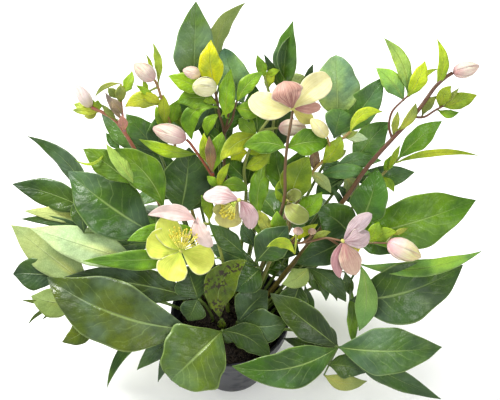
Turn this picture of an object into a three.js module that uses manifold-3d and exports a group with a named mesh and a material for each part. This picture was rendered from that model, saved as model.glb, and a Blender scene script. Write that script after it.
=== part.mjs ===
// A hellebore in a round nursery pot. Millimetres, +Z up, the pot stands on z = 0 round the origin.
import * as THREE from 'three';
import Module from 'manifold-3d';

const wasm = await Module();
wasm.setup();

// ---- Driving dimensions ----
const BASE_RADIUS = 39;
const WALL_TOP_RADIUS = 57;
const RIM_RADIUS = 62;
const RIM_BAND_BOTTOM = 90;
const POT_HEIGHT = 108;
const WALL = 2.6;
const FLOOR = 3;
const SOIL_TOP = 93;
const SOIL_GAP = 0.3;
const ROUND = 20;
const FOOT_BOTTOM = 72;
const HOLE_GAP = 0.4;
const STALK_TOP_Z = 95;
const STALK_SIDES = 4;
const BRANCH_SIDES = 3;
const BLADE_THICKNESS = 0.7;

// The plant is laid out on a sheet 500 x 400 that leans back: it is square to a line of sight 52
// degrees above the horizon, whose eye is 900 from the sheet's middle. A place is [x, y, height]:
// x from the sheet's left edge, y down from its top edge, and the height above the ground.
const SHEET_X = 250;
const SHEET_Y = 200;
const EYE_RANGE = 900;
const SINE = Math.sin(THREE.MathUtils.degToRad(52));
const COSINE = Math.cos(THREE.MathUtils.degToRad(52));
const MIDDLE = new THREE.Vector3(20.7, 62.9, 220);
const SIGHT = new THREE.Vector3(0, -COSINE, SINE);

function place([x, y, height]) {
  const across = x - SHEET_X;
  const up = SHEET_Y - y;
  const near = (height - MIDDLE.z - COSINE * up) / (SINE - (COSINE * up) / EYE_RANGE);
  const scale = 1 - near / EYE_RANGE;
  return new THREE.Vector3(
    MIDDLE.x + across * scale,
    MIDDLE.y + SINE * up * scale - COSINE * near,
    height,
  );
}

// A blade is a row: [base, tip, width, bend, lift, roll, widest, blunt]. base is a place, or 0 for
// the hub. bend moves the middle of the midrib to the right of the way from base to tip, lift raises
// it, roll turns the blade about its midrib in degrees, widest is the share of its length where it
// is widest and blunt below 1 rounds its tip. A leaf: [name, turn, hub, blades], where turn moves
// the foot of its stalk round the pot in degrees.
const LEAVES = [
  ['leaf_front_left', 0, [192, 329, 126], [
    [0, [47, 277, 140], 64, -12, 6, 0, 0.5],
    [0, [107, 388, 66], 12, 23, 8, 0, 0.6],
    [0, [137, 370, 84], 24, 4, 4, 20, 0.4],
    [0, [158, 382, 78], 16, 5, 4, -30, 0.45],
  ]],
  ['leaf_front', 0, [222, 331, 124], [
    [0, [171, 380, 100], 66, 0, 8, 0, 0.5, 0.5],
    [0, [270, 360, 114], 26, -8, 2, 0, 0.45],
    [0, [237, 341, 116], 14, 0, 0, 0, 0.5],
  ]],
  ['leaf_front_right', 0, [338, 347, 118], [
    [0, [442, 347, 104], 45, 4, 8, 0, 0.42],
    [0, [441, 399, 70], 22, 2, -2, -15, 0.5],
    [0, [232, 366, 124], 37, -12, 6, 0, 0.42],
    [[328, 365, 100], [365, 373, 92], 24, -3, 3, 0, 0.45],
    [[324, 375, 90], [367, 381, 84], 17, 5, 0, 168, 0.45],
    [0, [270, 293, 152], 31, 0, 8, 0, 0.45],
    [0, [300, 330, 130], 23, 4, 2, 0, 0.4],
    [0, [283, 338, 110], 15, -3, -4, 0, 0.45],
  ]],
  ['leaf_right_low', 0, [350, 282, 144], [
    [[350, 300, 143], [463, 265, 160], 57, 9, 8, 0, 0.42],
    [[360, 264, 170], [359, 331, 128], 21, -7, 8, 165, 0.6],
    [[352, 290, 138], [353, 345, 108], 14, 0, -2, 30, 0.5],
    [[358, 264, 168], [482, 251, 182], 18, 11, 4, 35, 0.5],
  ]],
  ['leaf_right', 0, [352, 238, 182], [
    [0, [476, 200, 198], 50, 3, 8, 0, 0.5],
    [0, [316, 209, 216], 36, 4, 6, 0, 0.45],
    [0, [296, 264, 166], 28, 0, 2, 0, 0.45],
    [[361, 222, 204], [377, 167, 246], 35, 3, 6, 15, 0.3],
  ]],
  ['leaf_right_upper', 3, [345, 178, 222], [
    [[354, 166, 232], [390, 122, 262], 28, -4, 4, 0, 0.5],
    [[334, 168, 236], [382, 161, 244], 16, -4, 3, 0, 0.45],
    [[318, 176, 234], [373, 174, 238], 14, -4, 3, 0, 0.45],
    [[344, 176, 230], [351, 199, 215], 16, -4, 0, 160, 0.45],
    [0, [415, 172, 228], 21, 2, -6, 0, 0.6],
    [[308, 172, 238], [331, 193, 226], 12, -3, 3, 150, 0.5],
  ]],
  ['leaf_back_right', 0, [340, 134, 260], [
    [[338, 120, 272], [336, 55, 325], 40, 0, 6, 0, 0.45, 0.6],
    [0, [383, 77, 312], 29, 2, 4, 0, 0.45],
    [[334, 138, 266], [341, 109, 290], 25, 0, 4, 0, 0.7, 0.5],
    [0, [368, 139, 264], 11, 0, 0, 150, 0.5],
  ]],
  ['leaf_back', 0, [284, 94, 288], [
    [0, [293, 21, 354], 26, -3, 4, 35, 0.4],
    [[289, 84, 298], [293, 34, 344], 12, -10, 4, -50, 0.5],
    [0, [311, 80, 298], 20, -3, 0, 170, 0.5],
    [[304, 88, 294], [313, 64, 314], 7, 0, 0, 0, 0.5],
    [0, [268, 156, 226], 34, 0, 4, 0, 0.5],
  ]],
  ['leaf_back_left', 0, [215, 102, 286], [
    [[193, 94, 294], [196, 1, 372], 36, 0, 6, 0, 0.45],
    [[221, 78, 304], [245, 3, 370], 24, -15, 4, 125, 0.5],
    [[244, 104, 288], [224, 48, 326], 31, -2, 2, 0, 0.45, 0.7],
    [0, [164, 126, 244], 34, 0, 4, 0, 0.5],
    [0, [222, 152, 238], 28, 0, 2, 0, 0.5],
  ]],
  ['leaf_left_upper', 0, [160, 154, 236], [
    [0, [101, 112, 256], 22, -5, 2, 0, 0.5],
    [[120, 150, 232], [106, 133, 240], 10, 0, 0, 0, 0.5],
    [0, [126, 114, 266], 25, 0, 4, 0, 0.5],
    [0, [157, 116, 270], 22, 0, 4, 0, 0.5],
  ]],
  ['leaf_mid_left', 0, [180, 214, 190], [
    [0, [189, 147, 248], 47, 2, 4, 0, 0.45],
    [[176, 210, 180], [145, 143, 214], 27, 5, -4, 0, 0.55],
    [0, [232, 160, 216], 32, 0, 0, 0, 0.55],
  ]],
  ['leaf_left', 0, [154, 233, 184], [
    [0, [68, 171, 214], 57, -4, 8, 0, 0.42],
    [[92, 208, 194], [27, 136, 222], 20, 12, 4, 20, 0.4],
    [[96, 214, 188], [12, 184, 196], 28, 4, 4, 0, 0.5],
    [[92, 222, 178], [24, 211, 188], 14, 2, 2, 165, 0.5],
    [[90, 230, 176], [20, 219, 182], 10, 3, 2, 0, 0.5],
    [[84, 233, 187], [79, 199, 206], 20, 0, 2, 0, 0.6, 0.5],
  ]],
  ['leaf_left_low', 0, [138, 262, 160], [
    [0, [30, 228, 176], 36, 0, 8, 178, 0.42],
  ]],
  ['leaf_left_under', 0, [112, 300, 116], [
    [[93, 289, 130], [11, 225, 156], 38, 0, 2, 178, 0.5],
    [[64, 280, 126], [13, 274, 124], 32, 3, 3, 0, 0.6],
    [[78, 302, 120], [31, 296, 114], 32, -3, 2, 170, 0.5],
    [[51, 308, 112], [28, 325, 98], 4, 3, 2, 0, 0.4],
    [[92, 322, 110], [62, 342, 92], 21, -3, 2, 0, 0.4],
  ]],
  ['leaf_left_mid', 0, [198, 299, 138], [
    [0, [64, 277, 142], 34, 5, 4, 0, 0.45],
    [0, [187, 266, 160], 36, 0, 2, 0, 0.4],
    [0, [188, 321, 118], 26, 0, 2, 0, 0.5],
  ]],
  ['leaf_front_speckled', 0, [221, 319, 124], [
    [0, [247, 260, 182], 31, -14, 6, 0, 0.5],
  ]],
  ['leaf_centre_low', 0, [238, 322, 118], [
    [0, [288, 321, 128], 34, 5, 3, 0, 0.45],
    [0, [268, 291, 146], 34, -2, 2, 0, 0.5],
    [0, [268, 348, 110], 28, 2, 2, 0, 0.5],
  ]],
  ['leaf_centre', 0, [258, 266, 164], [
    [[260, 269, 160], [235, 291, 144], 29, 0, 6, 0, 0.4],
    [0, [208, 245, 168], 21, 0, 3, 0, 0.5],
    [[244, 254, 182], [209, 224, 210], 19, 0, 3, 0, 0.45],
    [[254, 246, 180], [241, 225, 194], 14, 0, 2, 0, 0.5],
    [[256, 262, 180], [288, 226, 224], 32, 0, 2, 0, 0.5],
  ]],
  ['leaf_centre_right', 0, [308, 268, 158], [
    [0, [346, 302, 140], 19, -5, 6, 0, 0.55],
    [0, [326, 301, 138], 11, -6, 3, 0, 0.6],
    [0, [337, 301, 136], 10, -6, 2, 0, 0.6],
    [0, [282, 284, 150], 20, -3, 3, 165, 0.4],
    [[300, 284, 146], [287, 320, 120], 29, 0, 3, 0, 0.45],
    [[305, 286, 144], [311, 318, 118], 12, 0, 2, 0, 0.5],
  ]],
];

// Leaves of the side turned away stand by rule: [name, azimuth, hub reach, hub height, leaflets].
const REAR_LEAVES = [
  ['leaf_rear_left', 141, 100, 140, 3],
  ['leaf_rear_mid', 108, 112, 170, 4],
  ['leaf_rear_right', 56, 100, 150, 4],
];
const REAR_LENGTH = 76;
const REAR_WIDTH = 30;
const REAR_SPREAD = 44;
const REAR_RISE = 4;
const REAR_DROP = 26;

// A flowering stem: [name, turn, [paths], bracts, girth]. The first path climbs from the foot and
// the others branch off it. A path may end with the name of the bud or flower that it carries.
const STEMS = [
  ['stem_far_left', 0, [
    [[150, 184, 216], [140, 160, 243], [128, 138, 268], [115, 120, 285], [104, 113, 289],
      'bud_far_left'],
    [[125, 133, 275], [123, 118, 291], [121, 98, 305], [121, 84, 315]],
  ], [
    [[121, 94, 305], [132, 71, 322], 11, 2, 2, 20, 0.5],
    [[120, 103, 301], [121, 84, 318], 10, 0, 3, 0, 0.5],
    [[122, 114, 295], [112, 98, 306], 9, 0, 2, 0, 0.5],
    [[121, 84, 315], [95, 97, 304], 5, 5, 2, 0, 0.5],
    [[124, 131, 278], [122, 115, 295], 9, 0, 2, 0, 0.5],
    [[99, 112, 289], [72, 110, 292], 8, 0, 2, 0, 0.5],
    [[96, 112, 290], [74, 104, 286], 11, 0, 0, 0, 0.5],
    [[96, 111, 290], [90, 116, 285], 7, 0, 0, 0, 0.5],
  ], 1.25],
  ['stem_left_bright', 0, [
    [[172, 228, 200], [164, 208, 214], [150, 192, 226], [130, 182, 232]],
  ], [
    [[164, 207, 217], [113, 149, 262], 32, 8, 7, 0, 0.5],
    [[131, 184, 238], [83, 149, 254], 25, 2, 3, 0, 0.5],
    [[137, 186, 238], [106, 144, 264], 13, 0, 6, 150, 0.5],
  ]],
  ['stem_upper_left', 0, [
    [[178, 160, 232], [172, 130, 262], [166, 112, 283], [161, 97, 300], [158, 87, 308],
      'bud_upper_left'],
  ], [
    [[165, 124, 276], [163, 94, 301], 11, 0, 3, 0, 0.5],
    [[158, 84, 307], [153, 43, 336], 9, 3, 2, 35, 0.5],
    [[156, 98, 299], [136, 85, 310], 6, 0, 2, 0, 0.5],
    [[162, 106, 293], [125, 107, 291], 16, 7, 4, 0, 0.5],
    [[162, 103, 295], [141, 93, 305], 9, 0, 2, 0, 0.5],
    [[170, 124, 268], [178, 100, 288], 14, 0, 2, 0, 0.5],
    [[172, 132, 261], [156, 106, 282], 12, -2, 2, 0, 0.5],
    [[182, 128, 256], [167, 108, 282], 12, 3, 0, 0, 0.5],
  ]],
  ['stem_pink_left', 0, [
    [[217, 196, 222], [212, 176, 240], [204, 163, 252], [195, 150, 264], [190, 143, 270], 'bud_pink_left'],
    [[213, 178, 238], [212, 160, 256], [208, 145, 268]],
  ], [
    [[197, 154, 260], [139, 139, 266], 12, -4, 4, 10, 0.5],
    [[210, 166, 250], [204, 133, 276], 11, -2, 3, 0, 0.5],
    [[213, 172, 246], [222, 132, 280], 16, 0, 4, 0, 0.6],
    [[212, 173, 246], [209, 136, 280], 10, 0, 5, 0, 0.5],
    [[219, 190, 229], [230, 163, 256], 8, -3, 5, 0, 0.5],
    [[219, 187, 232], [207, 176, 242], 8, 0, 3, 0, 0.5],
    [[220, 186, 230], [248, 191, 228], 14, -4, 3, 0, 0.5],
  ]],
  ['stem_centre', 0, [
    [[226, 186, 216], [224, 160, 244], [224, 131, 273], [219, 113, 292], [217, 100, 302], 'bud_cream'],
    [[224, 134, 270], [228, 118, 287], [229, 111, 294]],
    [[224, 133, 271], [232, 120, 287], [235, 107, 299], [237, 101, 303]],
    [[217, 104, 299], [208, 92, 303], 'bud_rose'],
  ], [
    [[216, 90, 310], [211, 40, 348], 22, -3, 5, 0, 0.42],
    [[206, 93, 307], [168, 76, 316], 18, 2, 3, 0, 0.45],
    [[216, 104, 299], [177, 103, 296], 21, 6, 4, 0, 0.5],
    [[226, 118, 288], [231, 69, 324], 15, -2, 4, 0, 0.5],
    [[218, 107, 298], [192, 140, 266], 16, 16, 8, 0, 0.62],
    [[220, 114, 290], [207, 136, 270], 11, 5, 5, 0, 0.5],
    [[237, 102, 302], [264, 72, 322], 14, -4, 4, 0, 0.5],
    [[236, 108, 297], [263, 112, 290], 18, 0, 3, 0, 0.45],
  ]],
  ['stem_back', 0, [
    [[274, 110, 282], [270, 96, 294], [266, 82, 304], [264, 74, 310]],
  ], [
    [[268, 90, 298], [276, 72, 310], 9, -3, 2, 0, 0.5],
    [[264, 75, 309], [280, 70, 312], 7, 0, 0, 0, 0.5],
    [[265, 77, 308], [257, 55, 324], 10, 0, 2, 0, 0.4],
  ]],
  ['stem_mid', 0, [
    [[246, 190, 214], [244, 172, 236], [246, 160, 250], [250, 149, 264], [258, 134, 277], [269, 119, 288]],
    [[260, 132, 277], [268, 129, 277], 'bud_blunt_pink'],
  ], [
    [[245, 168, 241], [271, 153, 258], 13, 2, 3, 0, 0.4],
    [[248, 154, 257], [267, 156, 250], 10, -3, 2, 0, 0.5],
    [[248, 153, 258], [231, 160, 246], 15, 3, 0, 0, 0.5],
    [[257, 136, 275], [239, 118, 284], 15, 0, 2, 0, 0.6],
    [[257, 135, 276], [220, 161, 272], 17, 5, 6, 0, 0.45],
  ]],
  ['stem_top_flower', 0, [
    [[284, 200, 238], [285, 170, 262], [287, 147, 281], [290, 128, 298], 'flower_top'],
  ], [
    [[286, 148, 280], [243, 147, 278], 21, 5, 4, 0, 0.45],
    [[287, 148, 280], [331, 144, 272], 24, -4, 8, 0, 0.42],
  ]],
  ['stem_yellow_right', 0, [
    [[306, 184, 232], [314, 170, 248], [323, 161, 259], [334, 148, 273], [343, 138, 281], [350, 132, 285]],
    [[331, 152, 269], [329, 143, 282], 'bud_cream_yellow'],
  ], [
    [[322, 163, 257], [341, 136, 284], 17, 3, 4, 0, 0.5],
    [[350, 133, 284], [383, 112, 297], 11, -9, 4, 0, 0.5],
    [[315, 171, 246], [318, 149, 260], 10, -2, 2, 0, 0.5],
    [[330, 154, 266], [346, 150, 262], 9, 2, 2, 0, 0.5],
  ]],
  ['stem_right', 4, [
    [[350, 192, 228], [362, 174, 243], [375, 158, 256], [395, 136, 274], [413, 117, 289], [425, 101, 301],
      [436, 86, 311], [446, 77, 317], 'bud_far_right'],
    [[392, 139, 271], [389, 126, 282], [392, 112, 293], [401, 102, 301], [408, 96, 305]],
    [[413, 118, 288], [424, 117, 289], [434, 111, 293], [443, 106, 297]],
  ], [
    [[408, 96, 304], [384, 38, 346], 14, 7, 4, 0, 0.5],
    [[404, 101, 300], [376, 68, 322], 18, 3, 3, 0, 0.5],
    [[408, 97, 304], [425, 61, 332], 15, 2, 4, 0, 0.5],
    [[396, 131, 277], [416, 103, 299], 9, 4, 4, 0, 0.6],
    [[440, 108, 294], [451, 86, 312], 13, -2, 3, 0, 0.5],
    [[422, 116, 288], [437, 96, 304], 9, -2, 2, 0, 0.5],
    [[441, 107, 295], [477, 95, 302], 15, 0, 2, 0, 0.5],
    [[436, 87, 309], [437, 39, 344], 10, 7, 3, 0, 0.4],
  ], 1.35],
  ['stem_olive', -5, [
    [[352, 208, 197], [370, 188, 219], [383, 174, 231], [392, 165, 240], [402, 155, 250]],
  ], [
    [[398, 159, 248], [442, 121, 278], 20, -2, 3, 0, 0.5],
    [[395, 163, 246], [480, 156, 244], 7, -7, 2, 0, 0.4],
    [[384, 173, 230], [394, 154, 252], 9, 0, 3, 0, 0.5],
    [[381, 177, 226], [394, 192, 221], 8, -2, 2, 0, 0.5],
  ]],
  ['stem_young', 0, [
    [[276, 250, 180], [288, 232, 198], [290, 218, 212], 'young_bloom'],
    [[291, 252, 184], [300, 243, 198], [312, 241, 203], [326, 238, 209], 'flower_right'],
    [[328, 239, 207], [345, 247, 196], [365, 243, 199], 'bud_right'],
    [[290, 240, 195], [295, 238, 206], 'bud_small_left'],
    [[303, 243, 198], [309, 238, 206], 'bud_small_right'],
  ], [
    [[289, 206, 222], [309, 156, 262], 29, -3, 4, 0, 0.5],
    [[288, 206, 222], [284, 177, 244], 14, -4, 0, 0, 0.5],
    [[288, 214, 214], [322, 192, 234], 19, 5, 0, 0, 0.55],
    [[284, 238, 196], [277, 211, 230], 14, -2, 6, 0, 0.5],
    [[290, 240, 194], [318, 224, 210], 9, 0, 3, 0, 0.5],
    [[312, 241, 202], [331, 232, 208], 7, -2, 2, 0, 0.5],
    [[282, 241, 190], [252, 217, 214], 13, -3, 6, 0, 0.5],
    [[276, 243, 200], [258, 210, 224], 12, 0, 4, 0, 0.6],
    [[292, 252, 184], [268, 246, 196], 9, 9, 8, 0, 0.5],
    [[370, 242, 201], [379, 222, 218], 13, 0, 3, 0, 0.5],
    [[372, 242, 202], [397, 232, 210], 12, -3, 3, 0, 0.5],
  ]],
  ['stem_nodding', 9, [
    [[262, 236, 192], [257, 215, 214], [250, 204, 228], 'flower_nodding'],
  ], [
    [[259, 220, 208], [270, 158, 249], 18, -6, 3, 0, 0.5],
  ]],
  ['stem_yellow_flower', 0, [
    [[223, 262, 167], [217, 240, 186], [210, 224, 200], [199, 226, 200], [189, 239, 191], 'flower_yellow'],
  ], [
    [[209, 221, 206], [201, 195, 230], 11, 3, 2, 0, 0.5],
    [[221, 258, 170], [83, 261, 178], 19, 0, 6, 0, 0.55],
    [[213, 236, 193], [127, 241, 202], 16, 8, 4, 0, 0.7],
  ]],
];

// A bud: [name, base, tip, width].
const BUDS = [
  ['bud_far_left', [90.6, 107, 296], [76, 85, 312], 13],
  ['bud_upper_left', [154.6, 79.6, 314.5], [134, 64, 328], 17],
  ['bud_pink_left', [186, 139, 274.5], [153, 128, 284], 19],
  ['bud_cream', [214, 87, 315], [194, 87, 332], 19],
  ['bud_rose', [200.6, 75.2, 326.6], [183, 70, 332], 12],
  ['bud_blunt_pink', [278.8, 128, 277], [306, 127, 280], 17],
  ['bud_cream_yellow', [327, 136.4, 290.6], [311, 119, 306], 14],
  ['bud_far_right', [453, 72.6, 319.6], [479, 66, 326], 16],
  ['bud_right', [387.6, 243, 206.6], [421, 257, 200], 22],
  ['bud_small_left', [298, 233.6, 215.5], [298, 228, 222], 10],
  ['bud_small_right', [312, 233.6, 211.5], [312, 229, 217], 8],
];

// An open flower: [name, hub, sepals, stamens' root, the middle of the anthers, their spread].
// Sepals are rows as for the blades of leaves.
const FLOWERS = [
  ['flower_yellow', [181, 251, 198], [
    [0, [147, 239, 210], 29, 0, -2, 0, 0.66, 0.4],
    [0, [167, 280, 186], 29, 0, -2, 0, 0.66, 0.4],
    [0, [214, 264, 196], 28, 0, -2, 0, 0.66, 0.4],
    [0, [167, 216, 222], 24, -4, 0, 0, 0.6, 0.4],
    [[198, 216, 226], [213, 246, 210], 15, 5, 3, 0, 0.5, 0.6],
    [[196, 221, 228], [148, 215, 226], 15, 6, 3, 0, 0.4, 0.8],
  ], [182, 247, 207], [185, 232, 229], 12],
  ['flower_nodding', [239, 200, 238], [
    [0, [203, 197, 238], 20, 4, 6, 155, 0.5, 0.5],
    [0, [249, 229, 210], 19, -4, 3, 165, 0.6, 0.5],
    [0, [226, 228, 206], 28, 3, -6, 10, 0.7, 0.4],
    [0, [213, 212, 222], 16, 0, -2, 30, 0.6, 0.5],
  ], [233, 204, 236], [224, 216, 226], 7],
  ['flower_top', [293, 109, 306], [
    [0, [284, 81, 328], 31, 0, 8, 180, 0.6, 0.4],
    [0, [252, 95, 312], 26, -6, 0, 0, 0.6, 0.4],
    [0, [330, 77, 324], 26, -2, 2, 0, 0.66, 0.4],
    [0, [321, 107, 302], 12, 0, 2, 170, 0.6, 0.4],
    [0, [314, 119, 292], 13, 3, -2, 0, 0.6, 0.4],
  ], [294, 107, 304], [298, 100, 296], 7],
  ['flower_right', [343, 241, 213], [
    [0, [372, 214, 232], 15, -2, 4, 180, 0.6, 0.5],
    [0, [369, 232, 218], 20, 3, 4, 180, 0.6, 0.5],
    [0, [340, 278, 178], 13, 4, 3, 180, 0.55, 0.7],
    [0, [356, 275, 182], 22, 0, 5, 180, 0.6, 0.5],
  ], [346, 243, 210], [359, 247, 200], 5],
];

// Sepals of the half-open bloom, which shows no stamens.
const YOUNG_HUB = [287.6, 200.5, 230];
const YOUNG_SEPALS = [
  [0, [301, 197, 238], 14, -3, 4, 0, 0.55, 0.5],
  [0, [309, 216, 226], 19, 6, 10, 0, 0.55, 0.5],
  [0, [283, 219, 222], 10, -4, 6, 165, 0.55, 0.5],
];

// ---- Solids ----
// A closed solid lofted through rings of equal point count, the first and last of them capped.
function loft(rings, caps) {
  const count = rings[0].length;
  const points = rings.flat();
  const faces = [];
  for (let i = 0; i + 1 < rings.length; i += 1) {
    for (let j = 0; j < count; j += 1) {
      const a = i * count + j;
      const b = i * count + ((j + 1) % count);
      faces.push(...(caps.flip.includes(j)
        ? [a, b, a + count, b, b + count, a + count]
        : [a, b, b + count, a, b + count, a + count]));
    }
  }
  const last = points.length - count;
  for (const [p, q, r] of caps.faces) {
    faces.push(p, r, q, last + p, last + q, last + r);
  }
  return solidOf(points, faces);
}

function solidOf(points, faces) {
  const flat = new Float32Array(points.flatMap((point) => [point.x, point.y, point.z]));
  let order = faces;
  if (volumeOf(points, faces) < 0) {
    order = [];
    for (let i = 0; i < faces.length; i += 3) order.push(faces[i], faces[i + 2], faces[i + 1]);
  }
  return new wasm.Manifold(new wasm.Mesh({
    numProp: 3, vertProperties: flat, triVerts: new Uint32Array(order),
  }));
}

function volumeOf(points, faces) {
  let sum = 0;
  const cross = new THREE.Vector3();
  for (let i = 0; i < faces.length; i += 3) {
    cross.crossVectors(points[faces[i + 1]], points[faces[i + 2]]);
    sum += points[faces[i]].dot(cross);
  }
  return sum;
}

function fanCaps(count) {
  const faces = [];
  for (let j = 1; j + 1 < count; j += 1) faces.push([0, j, j + 1]);
  return { faces, flip: [] };
}

// The ring of a blade runs left, middle, right on top, then right, middle, left underneath.
const FOLDED_CAPS = { faces: [[0, 1, 4], [0, 4, 5], [1, 2, 3], [1, 3, 4]], flip: [3, 4] };
const FLAT_CAPS = { faces: [[0, 1, 2], [0, 2, 3]], flip: [2] };
const FLAT_WIDTH = 26;

function midrib(base, tip, bend, lift) {
  const dx = tip[0] - base[0];
  const dy = tip[1] - base[1];
  const run = Math.hypot(dx, dy);
  const middle = place([
    (base[0] + tip[0]) / 2 - (dy / run) * bend,
    (base[1] + tip[1]) / 2 + (dx / run) * bend,
    (base[2] + tip[2]) / 2 + lift,
  ]);
  return [place(base), middle, place(tip)];
}

// Share of the full width at t along a blade that is widest at the share `widest`.
function fullness(t, widest, blunt) {
  return t < widest
    ? Math.sin((Math.PI / 2) * (t / widest)) ** 1.2
    : Math.cos((Math.PI / 2) * ((t - widest) / (1 - widest))) ** blunt;
}

const FOLD = 0.16;
const WAVE = 0.05;
const ROOT_HALF = 0.6;
const LINK_LEAST = 0.9;
const SWING = [9, 8];
const TIP_HALF = 0.5;

function bladeAlong([start, middle, end], row, phase, facing, steps, cup, from) {
  const [, , width, , , roll = 0, widest = 0.45, blunt = 1] = row;
  const flat = width <= FLAT_WIDTH;
  const turn = THREE.MathUtils.degToRad(roll);
  const control = middle.clone().multiplyScalar(2).addScaledVector(start.clone().add(end), -0.5);
  let across = null;
  const section = (centre, along, half, left, right) => {
    const side = along.clone().cross(facing);
    across = side.length() > 0.2 || !across ? side.normalize() : across.clone().addScaledVector(
      along, -across.dot(along)).normalize();
    const face = across.clone().cross(along);
    const wing = across.clone().multiplyScalar(Math.cos(turn)).addScaledVector(face, Math.sin(turn));
    const out = face.clone().multiplyScalar(Math.cos(turn)).addScaledVector(across, -Math.sin(turn));
    const line = flat ? [[-half, 0], [half, 0]] : [[-half, left], [0, 0], [half, right]];
    const ring = line.map(([x, z]) => centre.clone().addScaledVector(wing, x).addScaledVector(out, z));
    const thick = out.clone().multiplyScalar(BLADE_THICKNESS / 2);
    return [
      ...ring.map((point) => point.clone().add(thick)),
      ...ring.map((point) => point.clone().sub(thick)).reverse(),
    ];
  };
  const rings = [];
  const link = from ? start.clone().sub(from).normalize() : null;
  if (from) rings.push(section(from, link, ROOT_HALF, 0, 0));
  for (let i = 0; i <= steps; i += 1) {
    const t = i / steps;
    const centre = start.clone().multiplyScalar((1 - t) ** 2)
      .addScaledVector(control, 2 * t * (1 - t)).addScaledVector(end, t ** 2);
    const along = control.clone().sub(start).multiplyScalar(1 - t)
      .addScaledVector(end.clone().sub(control), t).normalize();
    if (from && i === 0) along.add(link).normalize();
    const least = t < 0.5 ? ROOT_HALF : TIP_HALF;
    const half = Math.max(least, (width / 2) * fullness(t, widest, blunt));
    const swing = WAVE * width * Math.sin(Math.PI * t);
    const raise = (cup ?? FOLD) * half;
    const left = raise + swing * Math.sin(phase + t * SWING[0]);
    const right = raise + swing * Math.sin(phase * 2 + t * SWING[1]);
    rings.push(section(centre, along, half, left, right));
  }
  return loft(rings, flat ? FLAT_CAPS : FOLDED_CAPS);
}

const LONG_BLADE = 90;
const SHORT_BLADE = 32;

function bladeSteps(run) {
  if (run > LONG_BLADE) return 4;
  return run > SHORT_BLADE ? 3 : 2;
}

// lines are the middles of what the blade grows from: a stalk as wide as its root leads there.
function blade(row, hub, lines, cup) {
  const base = row[0] || hub;
  const tip = row[1];
  const run = Math.hypot(tip[0] - base[0], tip[1] - base[1]);
  const phase = THREE.MathUtils.degToRad((tip[0] * 7 + tip[1] * 13) % 360);
  const line = midrib(base, tip, row[3], row[4]);
  const nearest = lines.length ? nearestOf(lines, line[0]) : line[0];
  const from = nearest.distanceTo(line[0]) > LINK_LEAST ? nearest : null;
  return bladeAlong(line, row, phase, SIGHT, bladeSteps(run), cup, from);
}

// A round stalk through points, from one radius to the other. Its sections start square to +X.
function stalk(points, startRadius, endRadius, sides = STALK_SIDES) {
  let reference = new THREE.Vector3(1, 0, 0);
  const rings = points.map((point, i) => {
    const before = points[Math.max(0, i - 1)];
    const after = points[Math.min(points.length - 1, i + 1)];
    const along = after.clone().sub(before).normalize();
    const first = reference.clone().addScaledVector(along, -reference.dot(along)).normalize();
    const second = along.clone().cross(first);
    reference = first;
    const radius = THREE.MathUtils.lerp(startRadius, endRadius, i / (points.length - 1));
    return Array.from({ length: sides }, (_, j) => point.clone()
      .addScaledVector(first, radius * Math.cos((2 * Math.PI * j) / sides))
      .addScaledVector(second, radius * Math.sin((2 * Math.PI * j) / sides)));
  });
  return loft(rings, fanCaps(sides));
}

const UPRIGHT = [new THREE.Vector3(1, 0, 0), new THREE.Vector3(0, 1, 0), new THREE.Vector3(0, 0, 1)];

// Three directions square to each other, the first of them the given one.
function axesAlong(along) {
  const first = along.clone().normalize();
  const second = first.clone().cross(SIGHT).normalize();
  return [first, second, first.clone().cross(second)];
}

// An eight-sided ball with its corners on the axes.
function ball(centre, radius, [a, b, c] = UPRIGHT) {
  const points = [[a, 1], [b, 1], [a, -1], [b, -1], [c, 1], [c, -1]].map(([axis, side]) => (
    centre.clone().addScaledVector(axis, radius * side)));
  const faces = [0, 1, 2, 3].flatMap((k) => [k, (k + 1) % 4, 4, (k + 1) % 4, k, 5]);
  return solidOf(points, faces);
}

// How far the surface of such a ball lies from its centre in a direction.
function ballReach(radius, axes, towards) {
  return radius / axes.reduce((sum, axis) => sum + Math.abs(axis.dot(towards)), 0);
}

const SLIVER = 0.16;


// One solid of all, without the hollows that crossing blades would seal in.
function fuse(solids) {
  const shells = solids.reduce((all, solid) => all.add(solid)).simplify(SLIVER).decompose();
  return shells.filter((shell) => shell.volume() > 0.01).reduce((all, shell) => all.add(shell));
}

// ---- Feet in the soil ----
const feet = [];

// Stalks fan out as if from one point under the soil, so that they do not cross.
const FAN_DEPTH = 60;
const FOOT_REACH = 42;

function foot(target, turn, stalkRadius) {
  const azimuth = Math.atan2(target.y, target.x) + THREE.MathUtils.degToRad(turn);
  const share = FAN_DEPTH / (target.z - SOIL_TOP + FAN_DEPTH);
  const radius = Math.min(FOOT_REACH, Math.hypot(target.x, target.y) * share);
  const point = new THREE.Vector3(radius * Math.cos(azimuth), radius * Math.sin(azimuth), FOOT_BOTTOM);
  feet.push({ point, stalkRadius });
  return point;
}

function raised(point, height) {
  return new THREE.Vector3(point.x, point.y, height);
}

const PETIOLE_RADIUS = 1.9;
const PETIOLE_STEPS = 3;
const PETIOLE_TIP_RADIUS = 1.6;
const LOW_HUB = 145;
const LOW_ARCH = 0.3;
const HIGH_ARCH = 0.04;

// Stalks of low leaves arch over the rim of the pot, those of high ones are nearly straight.
function petiolePoints(start, hub) {
  const top = raised(start, STALK_TOP_Z);
  const reach = top.distanceTo(hub);
  const arch = hub.z < LOW_HUB ? LOW_ARCH : HIGH_ARCH;
  const curve = new THREE.CubicBezierCurve3(
    top,
    top.clone().lerp(hub, 0.25).add(new THREE.Vector3(0, 0, reach * arch)),
    top.clone().lerp(hub, 0.7).add(new THREE.Vector3(0, 0, reach * arch * 0.7)),
    hub,
  );
  return [start, ...curve.getPoints(PETIOLE_STEPS)];
}

function dense(points, gap) {
  const curve = new THREE.CatmullRomCurve3(points, false, 'centripetal');
  return curve.getPoints(Math.max(2, Math.round(curve.getLength() / gap)));
}

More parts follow.
